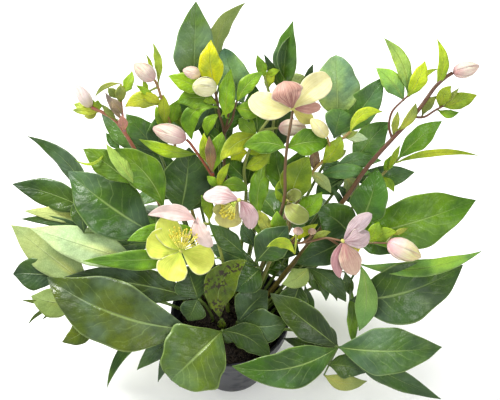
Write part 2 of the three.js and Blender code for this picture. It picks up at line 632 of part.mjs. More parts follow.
// Points every 2 or so along the straight pieces between the given ones.
function sampled(points) {
  return points.slice(1).flatMap((point, i) => {
    const count = Math.ceil(point.distanceTo(points[i]) / 2);
    return Array.from({ length: count + 1 }, (_, k) => points[i].clone().lerp(point, k / count));
  });
}

function nearestOf(lines, target) {
  return lines.reduce((best, point) => (
    point.distanceTo(target) < best.distanceTo(target) ? point : best));
}

const pieces = [];

function keep(name, solid, colour, roughness) {
  const { vertProperties, triVerts, numProp } = solid.getMesh();
  const geometry = new THREE.BufferGeometry();
  const positions = new Float32Array((vertProperties.length / numProp) * 3);
  for (let i = 0; i < positions.length / 3; i += 1) {
    for (let j = 0; j < 3; j += 1) positions[i * 3 + j] = vertProperties[i * numProp + j];
  }
  geometry.setAttribute('position', new THREE.BufferAttribute(positions, 3));
  geometry.setIndex(new THREE.BufferAttribute(new Uint32Array(triVerts), 1));
  geometry.computeVertexNormals();
  const mesh = new THREE.Mesh(geometry, new THREE.MeshStandardMaterial({
    color: colour, roughness, metalness: 0,
  }));
  mesh.name = name;
  pieces.push(mesh);
}

const LEAF_GREEN = 0x3f6a26;
const BRACT_GREEN = 0x93b63a;
const STAMEN_YELLOW = 0xd9cf3c;
const HUB_RADIUS = 3;

// ---- Basal leaves: stalk, hub and leaflets in one ----
for (const [name, turn, hub, rows] of LEAVES) {
  const centre = place(hub);
  const points = petiolePoints(foot(centre, turn, PETIOLE_RADIUS), centre);
  const leaflets = rows.map((row) => blade(row, hub, [centre]));
  keep(name, fuse([
    stalk(points, PETIOLE_RADIUS, PETIOLE_TIP_RADIUS), ball(centre, HUB_RADIUS), ...leaflets,
  ]), LEAF_GREEN, 0.4);
}

for (const [name, degrees, reach, height, leaflets] of REAR_LEAVES) {
  const azimuth = THREE.MathUtils.degToRad(degrees);
  const centre = new THREE.Vector3(reach * Math.cos(azimuth), reach * Math.sin(azimuth), height);
  const points = petiolePoints(foot(centre, 0, PETIOLE_RADIUS), centre);
  const solids = [stalk(points, PETIOLE_RADIUS, PETIOLE_TIP_RADIUS), ball(centre, HUB_RADIUS)];
  for (let k = 0; k < leaflets; k += 1) {
    const turn = azimuth + THREE.MathUtils.degToRad((k - (leaflets - 1) / 2) * REAR_SPREAD);
    const out = new THREE.Vector3(Math.cos(turn), Math.sin(turn), 0);
    const line = [
      centre,
      centre.clone().addScaledVector(out, REAR_LENGTH / 2).add(new THREE.Vector3(0, 0, REAR_RISE)),
      centre.clone().addScaledVector(out, REAR_LENGTH).add(new THREE.Vector3(0, 0, -REAR_DROP)),
    ];
    const row = [0, 0, REAR_WIDTH, 0, 0, 0, 0.55];
    solids.push(bladeAlong(line, row, k, new THREE.Vector3(0, 0, 1), 3));
  }
  keep(name, fuse(solids), LEAF_GREEN, 0.4);
}

// ---- Seats of buds and flowers on the ends of stalks ----
const SEAT_GAP = 0.5;
const FLOWER_SEAT_GAP = 0.85;
const FLOWER_HEART = 2.6;
const YOUNG_HEART = 2;
// Shares of a bud's length and of its half width there.
const BUD_PROFILE = [[0, 0.12], [0.14, 0.72], [0.45, 1], [0.8, 0.7], [1, 0.16]];

function seatOf(name, before) {
  const found = BUDS.find(([bud]) => bud === name);
  if (found) {
    const [, base, tip, width] = found;
    const centre = place(base);
    const towards = before.clone().sub(centre).normalize();
    const tilt = towards.clone().cross(place(tip).sub(centre).normalize()).length();
    return centre.addScaledVector(towards, SEAT_GAP + (BUD_PROFILE[0][1] * width / 2) * tilt);
  }
  const flower = FLOWERS.find(([bloom]) => bloom === name);
  const centre = place(flower ? flower[1] : YOUNG_HUB);
  const axes = flower ? axesAlong(place(flower[3]).sub(centre)) : UPRIGHT;
  const towards = before.clone().sub(centre).normalize();
  const reach = ballReach(flower ? FLOWER_HEART : YOUNG_HEART, axes, towards);
  return centre.addScaledVector(towards, FLOWER_SEAT_GAP + reach);
}

function pathPoints(path) {
  const points = path.filter(Array.isArray).map(place);
  const last = path.at(-1);
  return Array.isArray(last) ? points : [...points, seatOf(last, points.at(-1))];
}

// ---- Flowering stems with their branches and bracts ----
const STEM_RADIUS = 2.5;
const STEM_TIP_RADIUS = 1.5;
const STEM_GAP = 30;
const BRANCH_RADIUS = 1.5;
const BRANCH_TIP_RADIUS = 1.1;
const BRANCH_GAP = 12;

for (const [name, turn, paths, rows, girth = 1] of STEMS) {
  const climb = pathPoints(paths[0]);
  const start = foot(climb[0], turn, STEM_RADIUS * girth);
  const spine = [start, ...dense([raised(start, STALK_TOP_Z), ...climb], STEM_GAP)];
  const lines = sampled(spine);
  const branches = paths.slice(1).map((path) => {
    const points = dense(pathPoints(path), BRANCH_GAP);
    const line = [nearestOf(lines, points[0]), ...points.slice(1)];
    lines.push(...sampled(line));
    return stalk(line, BRANCH_RADIUS, BRANCH_TIP_RADIUS, BRANCH_SIDES);
  });
  keep(name, fuse([
    stalk(spine, STEM_RADIUS * girth, STEM_TIP_RADIUS * girth), ...branches, ...rows.map((row) => blade(row, null, lines)),
  ]), BRACT_GREEN, 0.5);
}

// ---- Buds ----
const BUD_COLOURS = { pink: 0xe8c4bd, cream: 0xeeeec0 };
const BUD_TWIST = 0.5;
const BUD_FURROW = 0.92;
const SMALL_BUD = 12;

function bud(from, to, width) {
  const along = to.clone().sub(from);
  const length = along.length();
  along.normalize();
  const first = along.clone().cross(SIGHT).normalize();
  const second = along.clone().cross(first);
  const sides = width > SMALL_BUD ? 8 : 5;
  const rings = BUD_PROFILE.map(([t, share]) => Array.from({ length: sides }, (_, j) => {
    const ridge = j % 2 ? BUD_FURROW : 1;
    const angle = (2 * Math.PI * j) / sides + t * BUD_TWIST;
    return from.clone().addScaledVector(along, t * length)
      .addScaledVector(first, (width / 2) * share * ridge * Math.cos(angle))
      .addScaledVector(second, (width / 2) * share * ridge * Math.sin(angle));
  }));
  return loft(rings, fanCaps(sides));
}

for (const [name, base, tip, width] of BUDS) {
  const from = place(base);
  const to = place(tip);
  keep(name, bud(from, to, width), name.includes('cream') ? BUD_COLOURS.cream : BUD_COLOURS.pink, 0.55);
}

// ---- Open flowers ----
const SEPAL_CUP = 0.22;
const STAMENS = 6;
const STAMEN_TURN = 2.4;
const FILAMENT_RADIUS = 0.5;
const ANTHER_RADIUS = 1.1;
const SEPAL_COLOURS = {
  flower_yellow: 0xe2e26a, flower_nodding: 0xe6cfc6, flower_top: 0xe3c98f, flower_right: 0xd9b4ae,
};

for (const [name, hub, rows, root, middle, spread] of FLOWERS) {
  const heart = place(hub);
  const axes = axesAlong(place(root).sub(heart));
  keep(`${name}_sepals`, fuse([
    ball(heart, FLOWER_HEART, axes), ...rows.map((row) => blade(row, hub, [heart], SEPAL_CUP)),
  ]), SEPAL_COLOURS[name], 0.6);
  const from = heart.clone().addScaledVector(axes[0], FLOWER_HEART * 2 + SEAT_GAP);
  const aim = place(middle);
  const [, first, second] = axesAlong(aim.clone().sub(from));
  const stamens = [ball(from, FLOWER_HEART, axes)];
  for (let k = 0; k < STAMENS; k += 1) {
    const angle = k * STAMEN_TURN;
    const reach = spread * Math.sqrt((k + 0.5) / STAMENS);
    const end = aim.clone().addScaledVector(first, reach * Math.cos(angle))
      .addScaledVector(second, reach * 0.5 * Math.sin(angle));
    const start = from.clone().addScaledVector(end.clone().sub(aim), 0.06);
    stamens.push(stalk([start, end], FILAMENT_RADIUS, ANTHER_RADIUS, 3));
  }
  keep(`${name}_stamens`, fuse(stamens), STAMEN_YELLOW, 0.6);
}

keep('young_bloom', fuse([
  ball(place(YOUNG_HUB), YOUNG_HEART), ...YOUNG_SEPALS.map((row) => blade(row, YOUNG_HUB, [], SEPAL_CUP)),
]), 0xb9b84a, 0.6);

// ---- Pot and soil ----
function turned(profile) {
  const rings = Array.from({ length: ROUND }, (_, j) => {
    const angle = (2 * Math.PI * j) / ROUND;
    return profile.map(([radius, z]) => (
      new THREE.Vector3(radius * Math.cos(angle), radius * Math.sin(angle), z)));
  });
  const points = rings.flat();
  const count = profile.length;
  const faces = [];
  for (let j = 0; j < ROUND; j += 1) {
    const next = ((j + 1) % ROUND) * count;
    const here = j * count;
    for (let i = 0; i < count; i += 1) {
      const up = (i + 1) % count;
      if (profile[i][0] > 0 && profile[up][0] > 0) {
        faces.push(here + i, next + i, next + up, here + i, next + up, here + up);
      } else if (profile[i][0] > 0) {
        faces.push(here + i, next + i, up);
      } else if (profile[up][0] > 0) {
        faces.push(i, next + up, here + up);
      }
    }
  }
  const used = [...new Set(faces)];
  const renumbered = new Map(used.map((index, order) => [index, order]));
  return solidOf(used.map((index) => points[index]), faces.map((index) => renumbered.get(index)));
}

const inner = (z) => THREE.MathUtils.lerp(BASE_RADIUS, WALL_TOP_RADIUS, z / RIM_BAND_BOTTOM) - WALL;

keep('pot', turned([
  [0, 0], [BASE_RADIUS, 0], [WALL_TOP_RADIUS, RIM_BAND_BOTTOM], [RIM_RADIUS, RIM_BAND_BOTTOM + 1.5],
  [RIM_RADIUS + 0.8, POT_HEIGHT - 1], [RIM_RADIUS, POT_HEIGHT], [RIM_RADIUS - 2, POT_HEIGHT],
  [RIM_RADIUS - WALL, POT_HEIGHT - 2], [RIM_RADIUS - WALL, RIM_BAND_BOTTOM + 4],
  [inner(RIM_BAND_BOTTOM) + 1, RIM_BAND_BOTTOM], [inner(FLOOR), FLOOR], [0, FLOOR],
]), 0x42424a, 0.45);

const low = FLOOR + SOIL_GAP;
const soil = turned([
  [0, low], [inner(low) - SOIL_GAP, low], [inner(RIM_BAND_BOTTOM - 3) - SOIL_GAP, RIM_BAND_BOTTOM - 3],
  [inner(RIM_BAND_BOTTOM - 3) - SOIL_GAP, SOIL_TOP - 2], [40, SOIL_TOP], [0, SOIL_TOP],
]);
const holes = feet.map(({ point, stalkRadius }) => {
  const radius = stalkRadius + HOLE_GAP / Math.cos(Math.PI / STALK_SIDES);
  return stalk([raised(point, FOOT_BOTTOM - HOLE_GAP), raised(point, POT_HEIGHT)], radius, radius);
});
keep('soil', soil.subtract(fuse(holes)), 0x2b2019, 0.95);

const plant = new THREE.Group();
plant.name = 'hellebore';
plant.add(...pieces);

export default plant;
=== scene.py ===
"""A hellebore in its nursery pot: finer leaves, stems, buds and flowers laid over the solids."""
import math
import random
from functools import partialmethod

import bpy
import numpy as np
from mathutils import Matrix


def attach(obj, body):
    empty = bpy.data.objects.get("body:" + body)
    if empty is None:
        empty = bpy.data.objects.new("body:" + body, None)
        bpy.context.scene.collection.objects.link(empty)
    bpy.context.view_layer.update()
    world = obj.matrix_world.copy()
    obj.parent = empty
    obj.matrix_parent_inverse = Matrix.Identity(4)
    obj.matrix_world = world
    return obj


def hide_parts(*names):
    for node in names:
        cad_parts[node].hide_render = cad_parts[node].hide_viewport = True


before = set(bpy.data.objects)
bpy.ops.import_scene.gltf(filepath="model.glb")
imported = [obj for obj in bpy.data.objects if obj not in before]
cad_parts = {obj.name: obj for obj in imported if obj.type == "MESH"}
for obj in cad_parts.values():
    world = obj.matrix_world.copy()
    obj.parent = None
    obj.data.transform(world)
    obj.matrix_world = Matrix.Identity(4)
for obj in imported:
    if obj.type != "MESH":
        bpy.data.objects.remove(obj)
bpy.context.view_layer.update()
bpy.ops.object.select_all(action="DESELECT")

MM = 0.001

# ---- The layout: the same places and sizes as the solids ----
BASE_RADIUS = 39
WALL_TOP_RADIUS = 57
RIM_RADIUS = 62
RIM_BAND_BOTTOM = 90
POT_HEIGHT = 108
WALL = 2.6
FLOOR = 3
SOIL_TOP = 93
FOOT_BOTTOM = 72
STALK_TOP_Z = 95
BLADE_THICKNESS = 0.6
SHEET_X, SHEET_Y = 250, 200
EYE_RANGE = 900
SINE, COSINE = math.sin(math.radians(52)), math.cos(math.radians(52))
MIDDLE = np.array([20.7, 62.9, 220.0])
SIGHT = np.array([0, -COSINE, SINE])


def place(spot):
    """A spot on the leaning sheet, with its height above the ground, as a point in mm."""
    x, y, height = spot
    across, up = x - SHEET_X, SHEET_Y - y
    near = (height - MIDDLE[2] - COSINE * up) / (SINE - COSINE * up / EYE_RANGE)
    scale = 1 - near / EYE_RANGE
    return np.array([MIDDLE[0] + across * scale, MIDDLE[1] + SINE * up * scale - COSINE * near, height])


# ---- The layout of the plant, with the places of the solids ----
# A blade is "start tip width bend lift turn widest blunt": * starts at the hub, and the last numbers may be left out.
# A leaf is "name turn hub: blades".
LEAVES = """
leaf_front_left 0 192,329,126: * 47,277,140 64 -12 6; * 107,388,66 12 23 8 0 .6; * 137,370,84 24 4 4 20 .4;
  * 158,382,78 16 5 4 -30 .45
leaf_front 0 222,331,124: * 171,380,100 66 0 8 0 .5 .5; * 270,360,114 26 -8 2 0 .45; * 237,341,116 14 0 0
leaf_front_right 0 338,347,118: * 442,347,104 45 4 8 0 .42; * 441,399,70 22 2 -2 -15; * 232,366,124 37 -12 6 0 .42;
  328,365,100 365,373,92 24 -3 3 0 .45; 324,375,90 367,381,84 17 5 0 168 .45; * 270,293,152 31 0 8 0 .45;
  * 300,330,130 23 4 2 0 .4; * 283,338,110 15 -3 -4 0 .45
leaf_right_low 0 350,282,144: 350,300,143 463,265,160 57 9 8 0 .42; 360,264,170 359,331,128 21 -7 8 165 .6;
  352,290,138 353,345,108 14 0 -2 30; 358,264,168 482,251,182 18 11 4 35
leaf_right 0 352,238,182: * 476,200,198 50 3 8; * 316,209,216 36 4 6 0 .45; * 296,264,166 28 0 2 0 .45;
  361,222,204 377,167,246 35 3 6 15 .3
leaf_right_upper 3 345,178,222: 354,166,232 390,122,262 28 -4 4; 334,168,236 382,161,244 16 -4 3 0 .45;
  318,176,234 373,174,238 14 -4 3 0 .45; 344,176,230 351,199,215 16 -4 0 160 .45; * 415,172,228 21 2 -6 0 .6;
  308,172,238 331,193,226 12 -3 3 150
leaf_back_right 0 340,134,260: 338,120,272 336,55,325 40 0 6 0 .45 .6; * 383,77,312 29 2 4 0 .45;
  334,138,266 341,109,290 25 0 4 0 .7 .5; * 368,139,264 11 0 0 150
leaf_back 0 284,94,288: * 293,21,354 26 -3 4 35 .4; 289,84,298 293,34,344 12 -10 4 -50; * 311,80,298 20 -3 0 170;
  304,88,294 313,64,314 7 0 0; * 268,156,226 34 0 4
leaf_back_left 0 215,102,286: 193,94,294 196,1,372 36 0 6 0 .45; 221,78,304 245,3,370 24 -15 4 125;
  244,104,288 224,48,326 31 -2 2 0 .45 .7; * 164,126,244 34 0 4; * 222,152,238 28 0 2
leaf_left_upper 0 160,154,236: * 101,112,256 22 -5 2; 120,150,232 106,133,240 10 0 0; * 126,114,266 25 0 4;
  * 157,116,270 22 0 4
leaf_mid_left 0 180,214,190: * 189,147,248 47 2 4 0 .45; 176,210,180 145,143,214 27 5 -4 0 .55;
  * 232,160,216 32 0 0 0 .55
leaf_left 0 154,233,184: * 68,171,214 57 -4 8 0 .42; 92,208,194 27,136,222 20 12 4 20 .4;
  96,214,188 12,184,196 28 4 4; 92,222,178 24,211,188 14 2 2 165; 90,230,176 20,219,182 10 3 2;
  84,233,187 79,199,206 20 0 2 0 .6 .5
leaf_left_low 0 138,262,160: * 30,228,176 36 0 8 178 .42
leaf_left_under 0 112,300,116: 93,289,130 11,225,156 38 0 2 178; 64,280,126 13,274,124 32 3 3 0 .6;
  78,302,120 31,296,114 32 -3 2 170; 51,308,112 28,325,98 4 3 2 0 .4; 92,322,110 62,342,92 21 -3 2 0 .4
leaf_left_mid 0 198,299,138: * 64,277,142 34 5 4 0 .45; * 187,266,160 36 0 2 0 .4; * 188,321,118 26 0 2
leaf_front_speckled 0 221,319,124: * 247,260,182 31 -14 6
leaf_centre_low 0 238,322,118: * 288,321,128 34 5 3 0 .45; * 268,291,146 34 -2 2; * 268,348,110 28 2 2
leaf_centre 0 258,266,164: 260,269,160 235,291,144 29 0 6 0 .4; * 208,245,168 21 0 3;
  244,254,182 209,224,210 19 0 3 0 .45; 254,246,180 241,225,194 14 0 2; 256,262,180 288,226,224 32 0 2
leaf_centre_right 0 308,268,158: * 346,302,140 19 -5 6 0 .55; * 326,301,138 11 -6 3 0 .6; * 337,301,136 10 -6 2 0 .6;
  * 282,284,150 20 -3 3 165 .4; 300,284,146 287,320,120 29 0 3 0 .45; 305,286,144 311,318,118 12 0 2
"""

# Leaves of the side turned away stand by rule: name, azimuth, hub reach, hub height, leaflets.
REAR_LEAVES = [("leaf_rear_left", 141, 100, 140, 3), ("leaf_rear_mid", 108, 112, 170, 4),
               ("leaf_rear_right", 56, 100, 150, 4)]

# A flowering stem is "name turn girth: paths: bracts". Its first path climbs from the foot, the others branch off, and
# a path may end with the bud or flower that it carries.
STEMS = """
stem_far_left 0 1.25: 150,184,216 140,160,243 128,138,268 115,120,285 104,113,289 bud_far_left;
  125,133,275 123,118,291 121,98,305 121,84,315 :
  121,94,305 132,71,322 11 2 2 20; 120,103,301 121,84,318 10 0 3; 122,114,295 112,98,306 9 0 2;
  121,84,315 95,97,304 5 5 2; 124,131,278 122,115,295 9 0 2; 99,112,289 72,110,292 8 0 2;
  96,112,290 74,104,286 11 0 0; 96,111,290 90,116,285 7 0 0
stem_left_bright 0 1: 172,228,200 164,208,214 150,192,226 130,182,232 :
  164,207,217 113,149,262 32 8 7; 131,184,238 83,149,254 25 2 3; 137,186,238 106,144,264 13 0 6 150
stem_upper_left 0 1: 178,160,232 172,130,262 166,112,283 161,97,300 158,87,308 bud_upper_left :
  165,124,276 163,94,301 11 0 3; 158,84,307 153,43,336 9 3 2 35; 156,98,299 136,85,310 6 0 2;
  162,106,293 125,107,291 16 7 4; 162,103,295 141,93,305 9 0 2; 170,124,268 178,100,288 14 0 2;
  172,132,261 156,106,282 12 -2 2; 182,128,256 167,108,282 12 3 0
stem_pink_left 0 1: 217,196,222 212,176,240 204,163,252 195,150,264 190,143,270 bud_pink_left;
  213,178,238 212,160,256 208,145,268 :
  197,154,260 139,139,266 12 -4 4 10; 210,166,250 204,133,276 11 -2 3; 213,172,246 222,132,280 16 0 4 0 .6;
  212,173,246 209,136,280 10 0 5; 219,190,229 230,163,256 8 -3 5; 219,187,232 207,176,242 8 0 3;
  220,186,230 248,191,228 14 -4 3
stem_centre 0 1: 226,186,216 224,160,244 224,131,273 219,113,292 217,100,302 bud_cream;
  224,134,270 228,118,287 229,111,294; 224,133,271 232,120,287 235,107,299 237,101,303;
  217,104,299 208,92,303 bud_rose :
  216,90,310 211,40,348 22 -3 5 0 .42; 206,93,307 168,76,316 18 2 3 0 .45; 216,104,299 177,103,296 21 6 4;
  226,118,288 231,69,324 15 -2 4; 218,107,298 192,140,266 16 16 8 0 .62; 220,114,290 207,136,270 11 5 5;
  237,102,302 264,72,322 14 -4 4; 236,108,297 263,112,290 18 0 3 0 .45
stem_back 0 1: 274,110,282 270,96,294 266,82,304 264,74,310 :
  268,90,298 276,72,310 9 -3 2; 264,75,309 280,70,312 7 0 0; 265,77,308 257,55,324 10 0 2 0 .4
stem_mid 0 1: 246,190,214 244,172,236 246,160,250 250,149,264 258,134,277 269,119,288;
  260,132,277 268,129,277 bud_blunt_pink :
  245,168,241 271,153,258 13 2 3 0 .4; 248,154,257 267,156,250 10 -3 2; 248,153,258 231,160,246 15 3 0;
  257,136,275 239,118,284 15 0 2 0 .6; 257,135,276 220,161,272 17 5 6 0 .45
stem_top_flower 0 1: 284,200,238 285,170,262 287,147,281 290,128,298 flower_top :
  286,148,280 243,147,278 21 5 4 0 .45; 287,148,280 331,144,272 24 -4 8 0 .42
stem_yellow_right 0 1: 306,184,232 314,170,248 323,161,259 334,148,273 343,138,281 350,132,285;
  331,152,269 329,143,282 bud_cream_yellow :
  322,163,257 341,136,284 17 3 4; 350,133,284 383,112,297 11 -9 4; 315,171,246 318,149,260 10 -2 2;
  330,154,266 346,150,262 9 2 2
stem_right 4 1.35:
  350,192,228 362,174,243 375,158,256 395,136,274 413,117,289 425,101,301 436,86,311 446,77,317 bud_far_right;
  392,139,271 389,126,282 392,112,293 401,102,301 408,96,305; 413,118,288 424,117,289 434,111,293 443,106,297 :
  408,96,304 384,38,346 14 7 4; 404,101,300 376,68,322 18 3 3; 408,97,304 425,61,332 15 2 4;
  396,131,277 416,103,299 9 4 4 0 .6; 440,108,294 451,86,312 13 -2 3; 422,116,288 437,96,304 9 -2 2;
  441,107,295 477,95,302 15 0 2; 436,87,309 437,39,344 10 7 3 0 .4
stem_olive -5 1: 352,208,197 370,188,219 383,174,231 392,165,240 402,155,250 :
  398,159,248 442,121,278 20 -2 3; 395,163,246 480,156,244 7 -7 2 0 .4; 384,173,230 394,154,252 9 0 3;
  381,177,226 394,192,221 8 -2 2
stem_young 0 1: 276,250,180 288,232,198 290,218,212 young_bloom;
  291,252,184 300,243,198 312,241,203 326,238,209 flower_right; 328,239,207 345,247,196 365,243,199 bud_right;
  290,240,195 295,238,206 bud_small_left; 303,243,198 309,238,206 bud_small_right :
  289,206,222 309,156,262 29 -3 4; 288,206,222 284,177,244 14 -4 0; 288,214,214 322,192,234 19 5 0 0 .55;
  284,238,196 277,211,230 14 -2 6; 290,240,194 318,224,210 9 0 3; 312,241,202 331,232,208 7 -2 2;
  282,241,190 252,217,214 13 -3 6; 276,243,200 258,210,224 12 0 4 0 .6; 292,252,184 268,246,196 9 9 8;
  370,242,201 379,222,218 13 0 3; 372,242,202 397,232,210 12 -3 3
stem_nodding 9 1: 262,236,192 257,215,214 250,204,228 flower_nodding :
  259,220,208 270,158,249 18 -6 3
stem_yellow_flower 0 1: 223,262,167 217,240,186 210,224,200 199,226,200 189,239,191 flower_yellow :
  209,221,206 201,195,230 11 3 2; 221,258,170 83,261,178 19 0 6 0 .55; 213,236,193 127,241,202 16 8 4 0 .7
"""

# A bud is "name base tip width".
BUDS = """
bud_far_left 90.6,107,296 76,85,312 13
bud_upper_left 154.6,79.6,314.5 134,64,328 17
bud_pink_left 186,139,274.5 153,128,284 19
bud_cream 214,87,315 194,87,332 19
bud_rose 200.6,75.2,326.6 183,70,332 12
bud_blunt_pink 278.8,128,277 306,127,280 17
bud_cream_yellow 327,136.4,290.6 311,119,306 14
bud_far_right 453,72.6,319.6 479,66,326 16
bud_right 387.6,243,206.6 421,257,200 22
bud_small_left 298,233.6,215.5 298,228,222 10
bud_small_right 312,233.6,211.5 312,229,217 8
"""

# An open flower is "name hub, stamens' root, middle of the anthers, their spread: sepals".
FLOWERS = """
flower_yellow 181,251,198 182,247,207 185,232,229 12: * 147,239,210 29 0 -2 0 .66 .4; * 167,280,186 29 0 -2 0 .66 .4;
  * 214,264,196 28 0 -2 0 .66 .4; * 167,216,222 24 -4 0 0 .6 .4; 198,216,226 213,246,210 15 5 3 0 .5 .6;
  196,221,228 148,215,226 15 6 3 0 .4 .8
flower_nodding 239,200,238 233,204,236 224,216,226 7: * 203,197,238 20 4 6 155 .5 .5; * 249,229,210 19 -4 3 165 .6 .5;
  * 226,228,206 28 3 -6 10 .7 .4; * 213,212,222 16 0 -2 30 .6 .5
flower_top 293,109,306 294,107,304 298,100,296 7: * 284,81,328 31 0 8 180 .6 .4; * 252,95,312 26 -6 0 0 .6 .4;
  * 330,77,324 26 -2 2 0 .66 .4; * 321,107,302 12 0 2 170 .6 .4; * 314,119,292 13 3 -2 0 .6 .4
flower_right 343,241,213 346,243,210 359,247,200 5: * 372,214,232 15 -2 4 180 .6 .5; * 369,232,218 20 3 4 180 .6 .5;
  * 340,278,178 13 4 3 180 .55 .7; * 356,275,182 22 0 5 180 .6 .5
"""

# The half-open bloom shows no stamens.
YOUNG_HUB = [287.6, 200.5, 230]
YOUNG_SEPALS = "* 301,197,238 14 -3 4 0 .55 .5; * 309,216,226 19 6 10 0 .55 .5; * 283,219,222 10 -4 6 165 .55 .5"

# Blades that only the fine pieces have: slender tips and bracts, and broad ones that fill hollows.
# On stems the broad fill blades are tinted deep green as painted shade.
FINE_TIPS = """
leaf_back: * 264,54,326 9 0 0
leaf_left_under: 46,303,114 21,300,110 4 0 1 0 .4; 56,311,110 42,320,100 3 1 1 0 .4
leaf_right_upper: 330,188,222 343,211,206 6 -3 0; 337,186,220 357,206,206 12 -2 2; * 316,194,204 20 2 2;
  * 321,160,224 18 0 2
leaf_centre_right: 345,272,152 351,296,132 11 0 2; * 322,292,138 14 0 2
leaf_front_speckled: * 222,329,108 8 0 2
stem_far_left: 122,121,290 105,92,309 7 0 2; 117,121,285 101,104,297 6 0 2; 97,111,291 98,100,303 8 0 0;
  119,99,302 108,88,311 8 0 0 0 .6; 98,112,290 80,96,297 7 2 2; 97,112,289 84,116,282 6 -2 1
stem_left_bright: 106,150,254 75,160,246 3 -9 2
stem_upper_left: 152,80,313 146,54,332 4 2 0; 148,92,304 143,80,313 5 0 0
leaf_right: * 398,254,168 22 -3 2 0 .45
stem_mid: 258,134,277 254,84,298 22 0 2 0 .45; 246,180,226 223,157,236 18 0 2 0 .45;
  246,186,216 250,150,236 18 2 2 0 .45
stem_top_flower: 284,196,232 273,146,250 24 0 2 0 .45; 285,182,240 305,150,252 18 0 2 0 .45
stem_centre: 224,146,254 196,122,262 15 0 2 0 .45; 224,132,266 240,102,282 18 0 2 0 .45;
  216,103,300 203,102,299 6 2 6; 222,115,290 235,99,304 10 0 2
stem_yellow_right: 265,272,130 286,260,114 22 0 2 0 .45; 343,139,280 358,131,284 5 0 1
stem_right: 417,84,313 438,69,322 5 -3 2; 393,136,273 398,111,294 7 0 3; 300,254,156 272,238,150 24 0 2 0 .45;
  306,247,163 322,214,170 22 0 2 0 .45; 288,270,135 268,250,126 22 0 2 0 .45; 290,267,139 318,266,126 19 0 2 0 .45;
  438,110,291 459,112,290 8 3 0; 444,105,297 459,88,309 5 0 2
stem_olive: 389,168,243 400,145,262 6 0 2
stem_young: 276,250,181 268,246,192 8 0 2; 295,254,209 267,247,222 10 8 1; 392,235,207 408,228,210 5 0 1
stem_yellow_flower: 216,236,191 222,246,190 5 0 2
"""


def spot(text):
    return 0 if text == "*" else [float(v) for v in text.split(",")]


def blades(text):
    rows = [row.split() for row in text.split(";")]
    return [[spot(row[0]), spot(row[1])] + [float(v) for v in row[2:]] for row in rows]


def entries(text):
    """A table's entries: each starts in the first column and runs on in the indented lines below it."""
    return [[field.split() if i == 0 else field for i, field in enumerate(entry.split(":"))]
            for entry in text.strip().replace("\n  ", " ").split("\n")]


def path_spots(text):
    return [spot(word) if word[0].isdigit() else word for word in text.split()]


LEAVES = [(head[0], float(head[1]), spot(head[2]), blades(rows)) for head, rows in entries(LEAVES)]
STEMS = [(head[0], float(head[1]), [path_spots(path) for path in paths.split(";")], blades(rows), float(head[2]))
         for head, paths, rows in entries(STEMS)]
BUDS = [(head[0], spot(head[1]), spot(head[2]), float(head[3])) for (head,) in entries(BUDS)]
FLOWERS = [(head[0], spot(head[1]), blades(rows), spot(head[2]), spot(head[3]), float(head[4]))
           for head, rows in entries(FLOWERS)]
YOUNG_SEPALS = blades(YOUNG_SEPALS)
FINE_TIPS = {head[0]: blades(rows) for head, rows in entries(FINE_TIPS)}

REAR_LENGTH, REAR_WIDTH, REAR_SPREAD, REAR_RISE, REAR_DROP = 76, 30, 44, 4, 26
FAN_DEPTH, FOOT_REACH = 60, 42
LOW_HUB, LOW_ARCH, HIGH_ARCH = 145, 0.3, 0.04


# ---- Lines that the stalks and midribs follow ----
def unit(v):
    return v / max(1e-9, float(np.linalg.norm(v)))


def midrib(base, tip, bend, lift):
    dx, dy = tip[0] - base[0], tip[1] - base[1]
    run = math.hypot(dx, dy)
    middle = [(base[0] + tip[0]) / 2 - dy / run * bend, (base[1] + tip[1]) / 2 + dx / run * bend,
              (base[2] + tip[2]) / 2 + lift]
    return [place(base), place(middle), place(tip)]


def swung(first, second, angle):
    return first * math.cos(angle) + second * math.sin(angle)


def bezier(a, b, c, t):
    return (1 - t) ** 2 * a + 2 * t * (1 - t) * b + t * t * c


def smooth_line(points, gap):
    """A centripetal Catmull-Rom curve through the points, as the stems follow."""
    P = [np.asarray(p, float) for p in points]
    P = [2 * P[0] - P[1]] + P + [2 * P[-1] - P[-2]]
    out = []
    for i in range(1, len(P) - 2):
        p0, p1, p2, p3 = P[i - 1:i + 3]
        d = [max(1e-4, np.linalg.norm(b - a) ** 0.5) for a, b in ((p0, p1), (p1, p2), (p2, p3))]
        m1 = (p1 - p0) / d[0] - (p2 - p0) / (d[0] + d[1]) + (p2 - p1) / d[1]
        m2 = (p2 - p1) / d[1] - (p3 - p1) / (d[1] + d[2]) + (p3 - p2) / d[2]
        m1, m2 = m1 * d[1], m2 * d[1]
        count = max(2, int(np.linalg.norm(p2 - p1) / gap))
        for k in range(count):
            t = k / count
            out.append((2 * t ** 3 - 3 * t ** 2 + 1) * p1 + (t ** 3 - 2 * t ** 2 + t) * m1
                       + (-2 * t ** 3 + 3 * t ** 2) * p2 + (t ** 3 - t ** 2) * m2)
    out.append(P[-2])
    return out


def nearest_of(line, target):
    return min(line, key=lambda p: float(np.linalg.norm(p - target)))


def foot(target, turn):
    """Where a stalk starts in the soil: they fan out from one point below it."""
    azimuth = math.atan2(target[1], target[0]) + math.radians(turn)
    share = FAN_DEPTH / (target[2] - SOIL_TOP + FAN_DEPTH)
    radius = min(FOOT_REACH, math.hypot(target[0], target[1]) * share)
    return np.array([radius * math.cos(azimuth), radius * math.sin(azimuth), FOOT_BOTTOM])


def raised(point, height):
    return np.array([point[0], point[1], height])


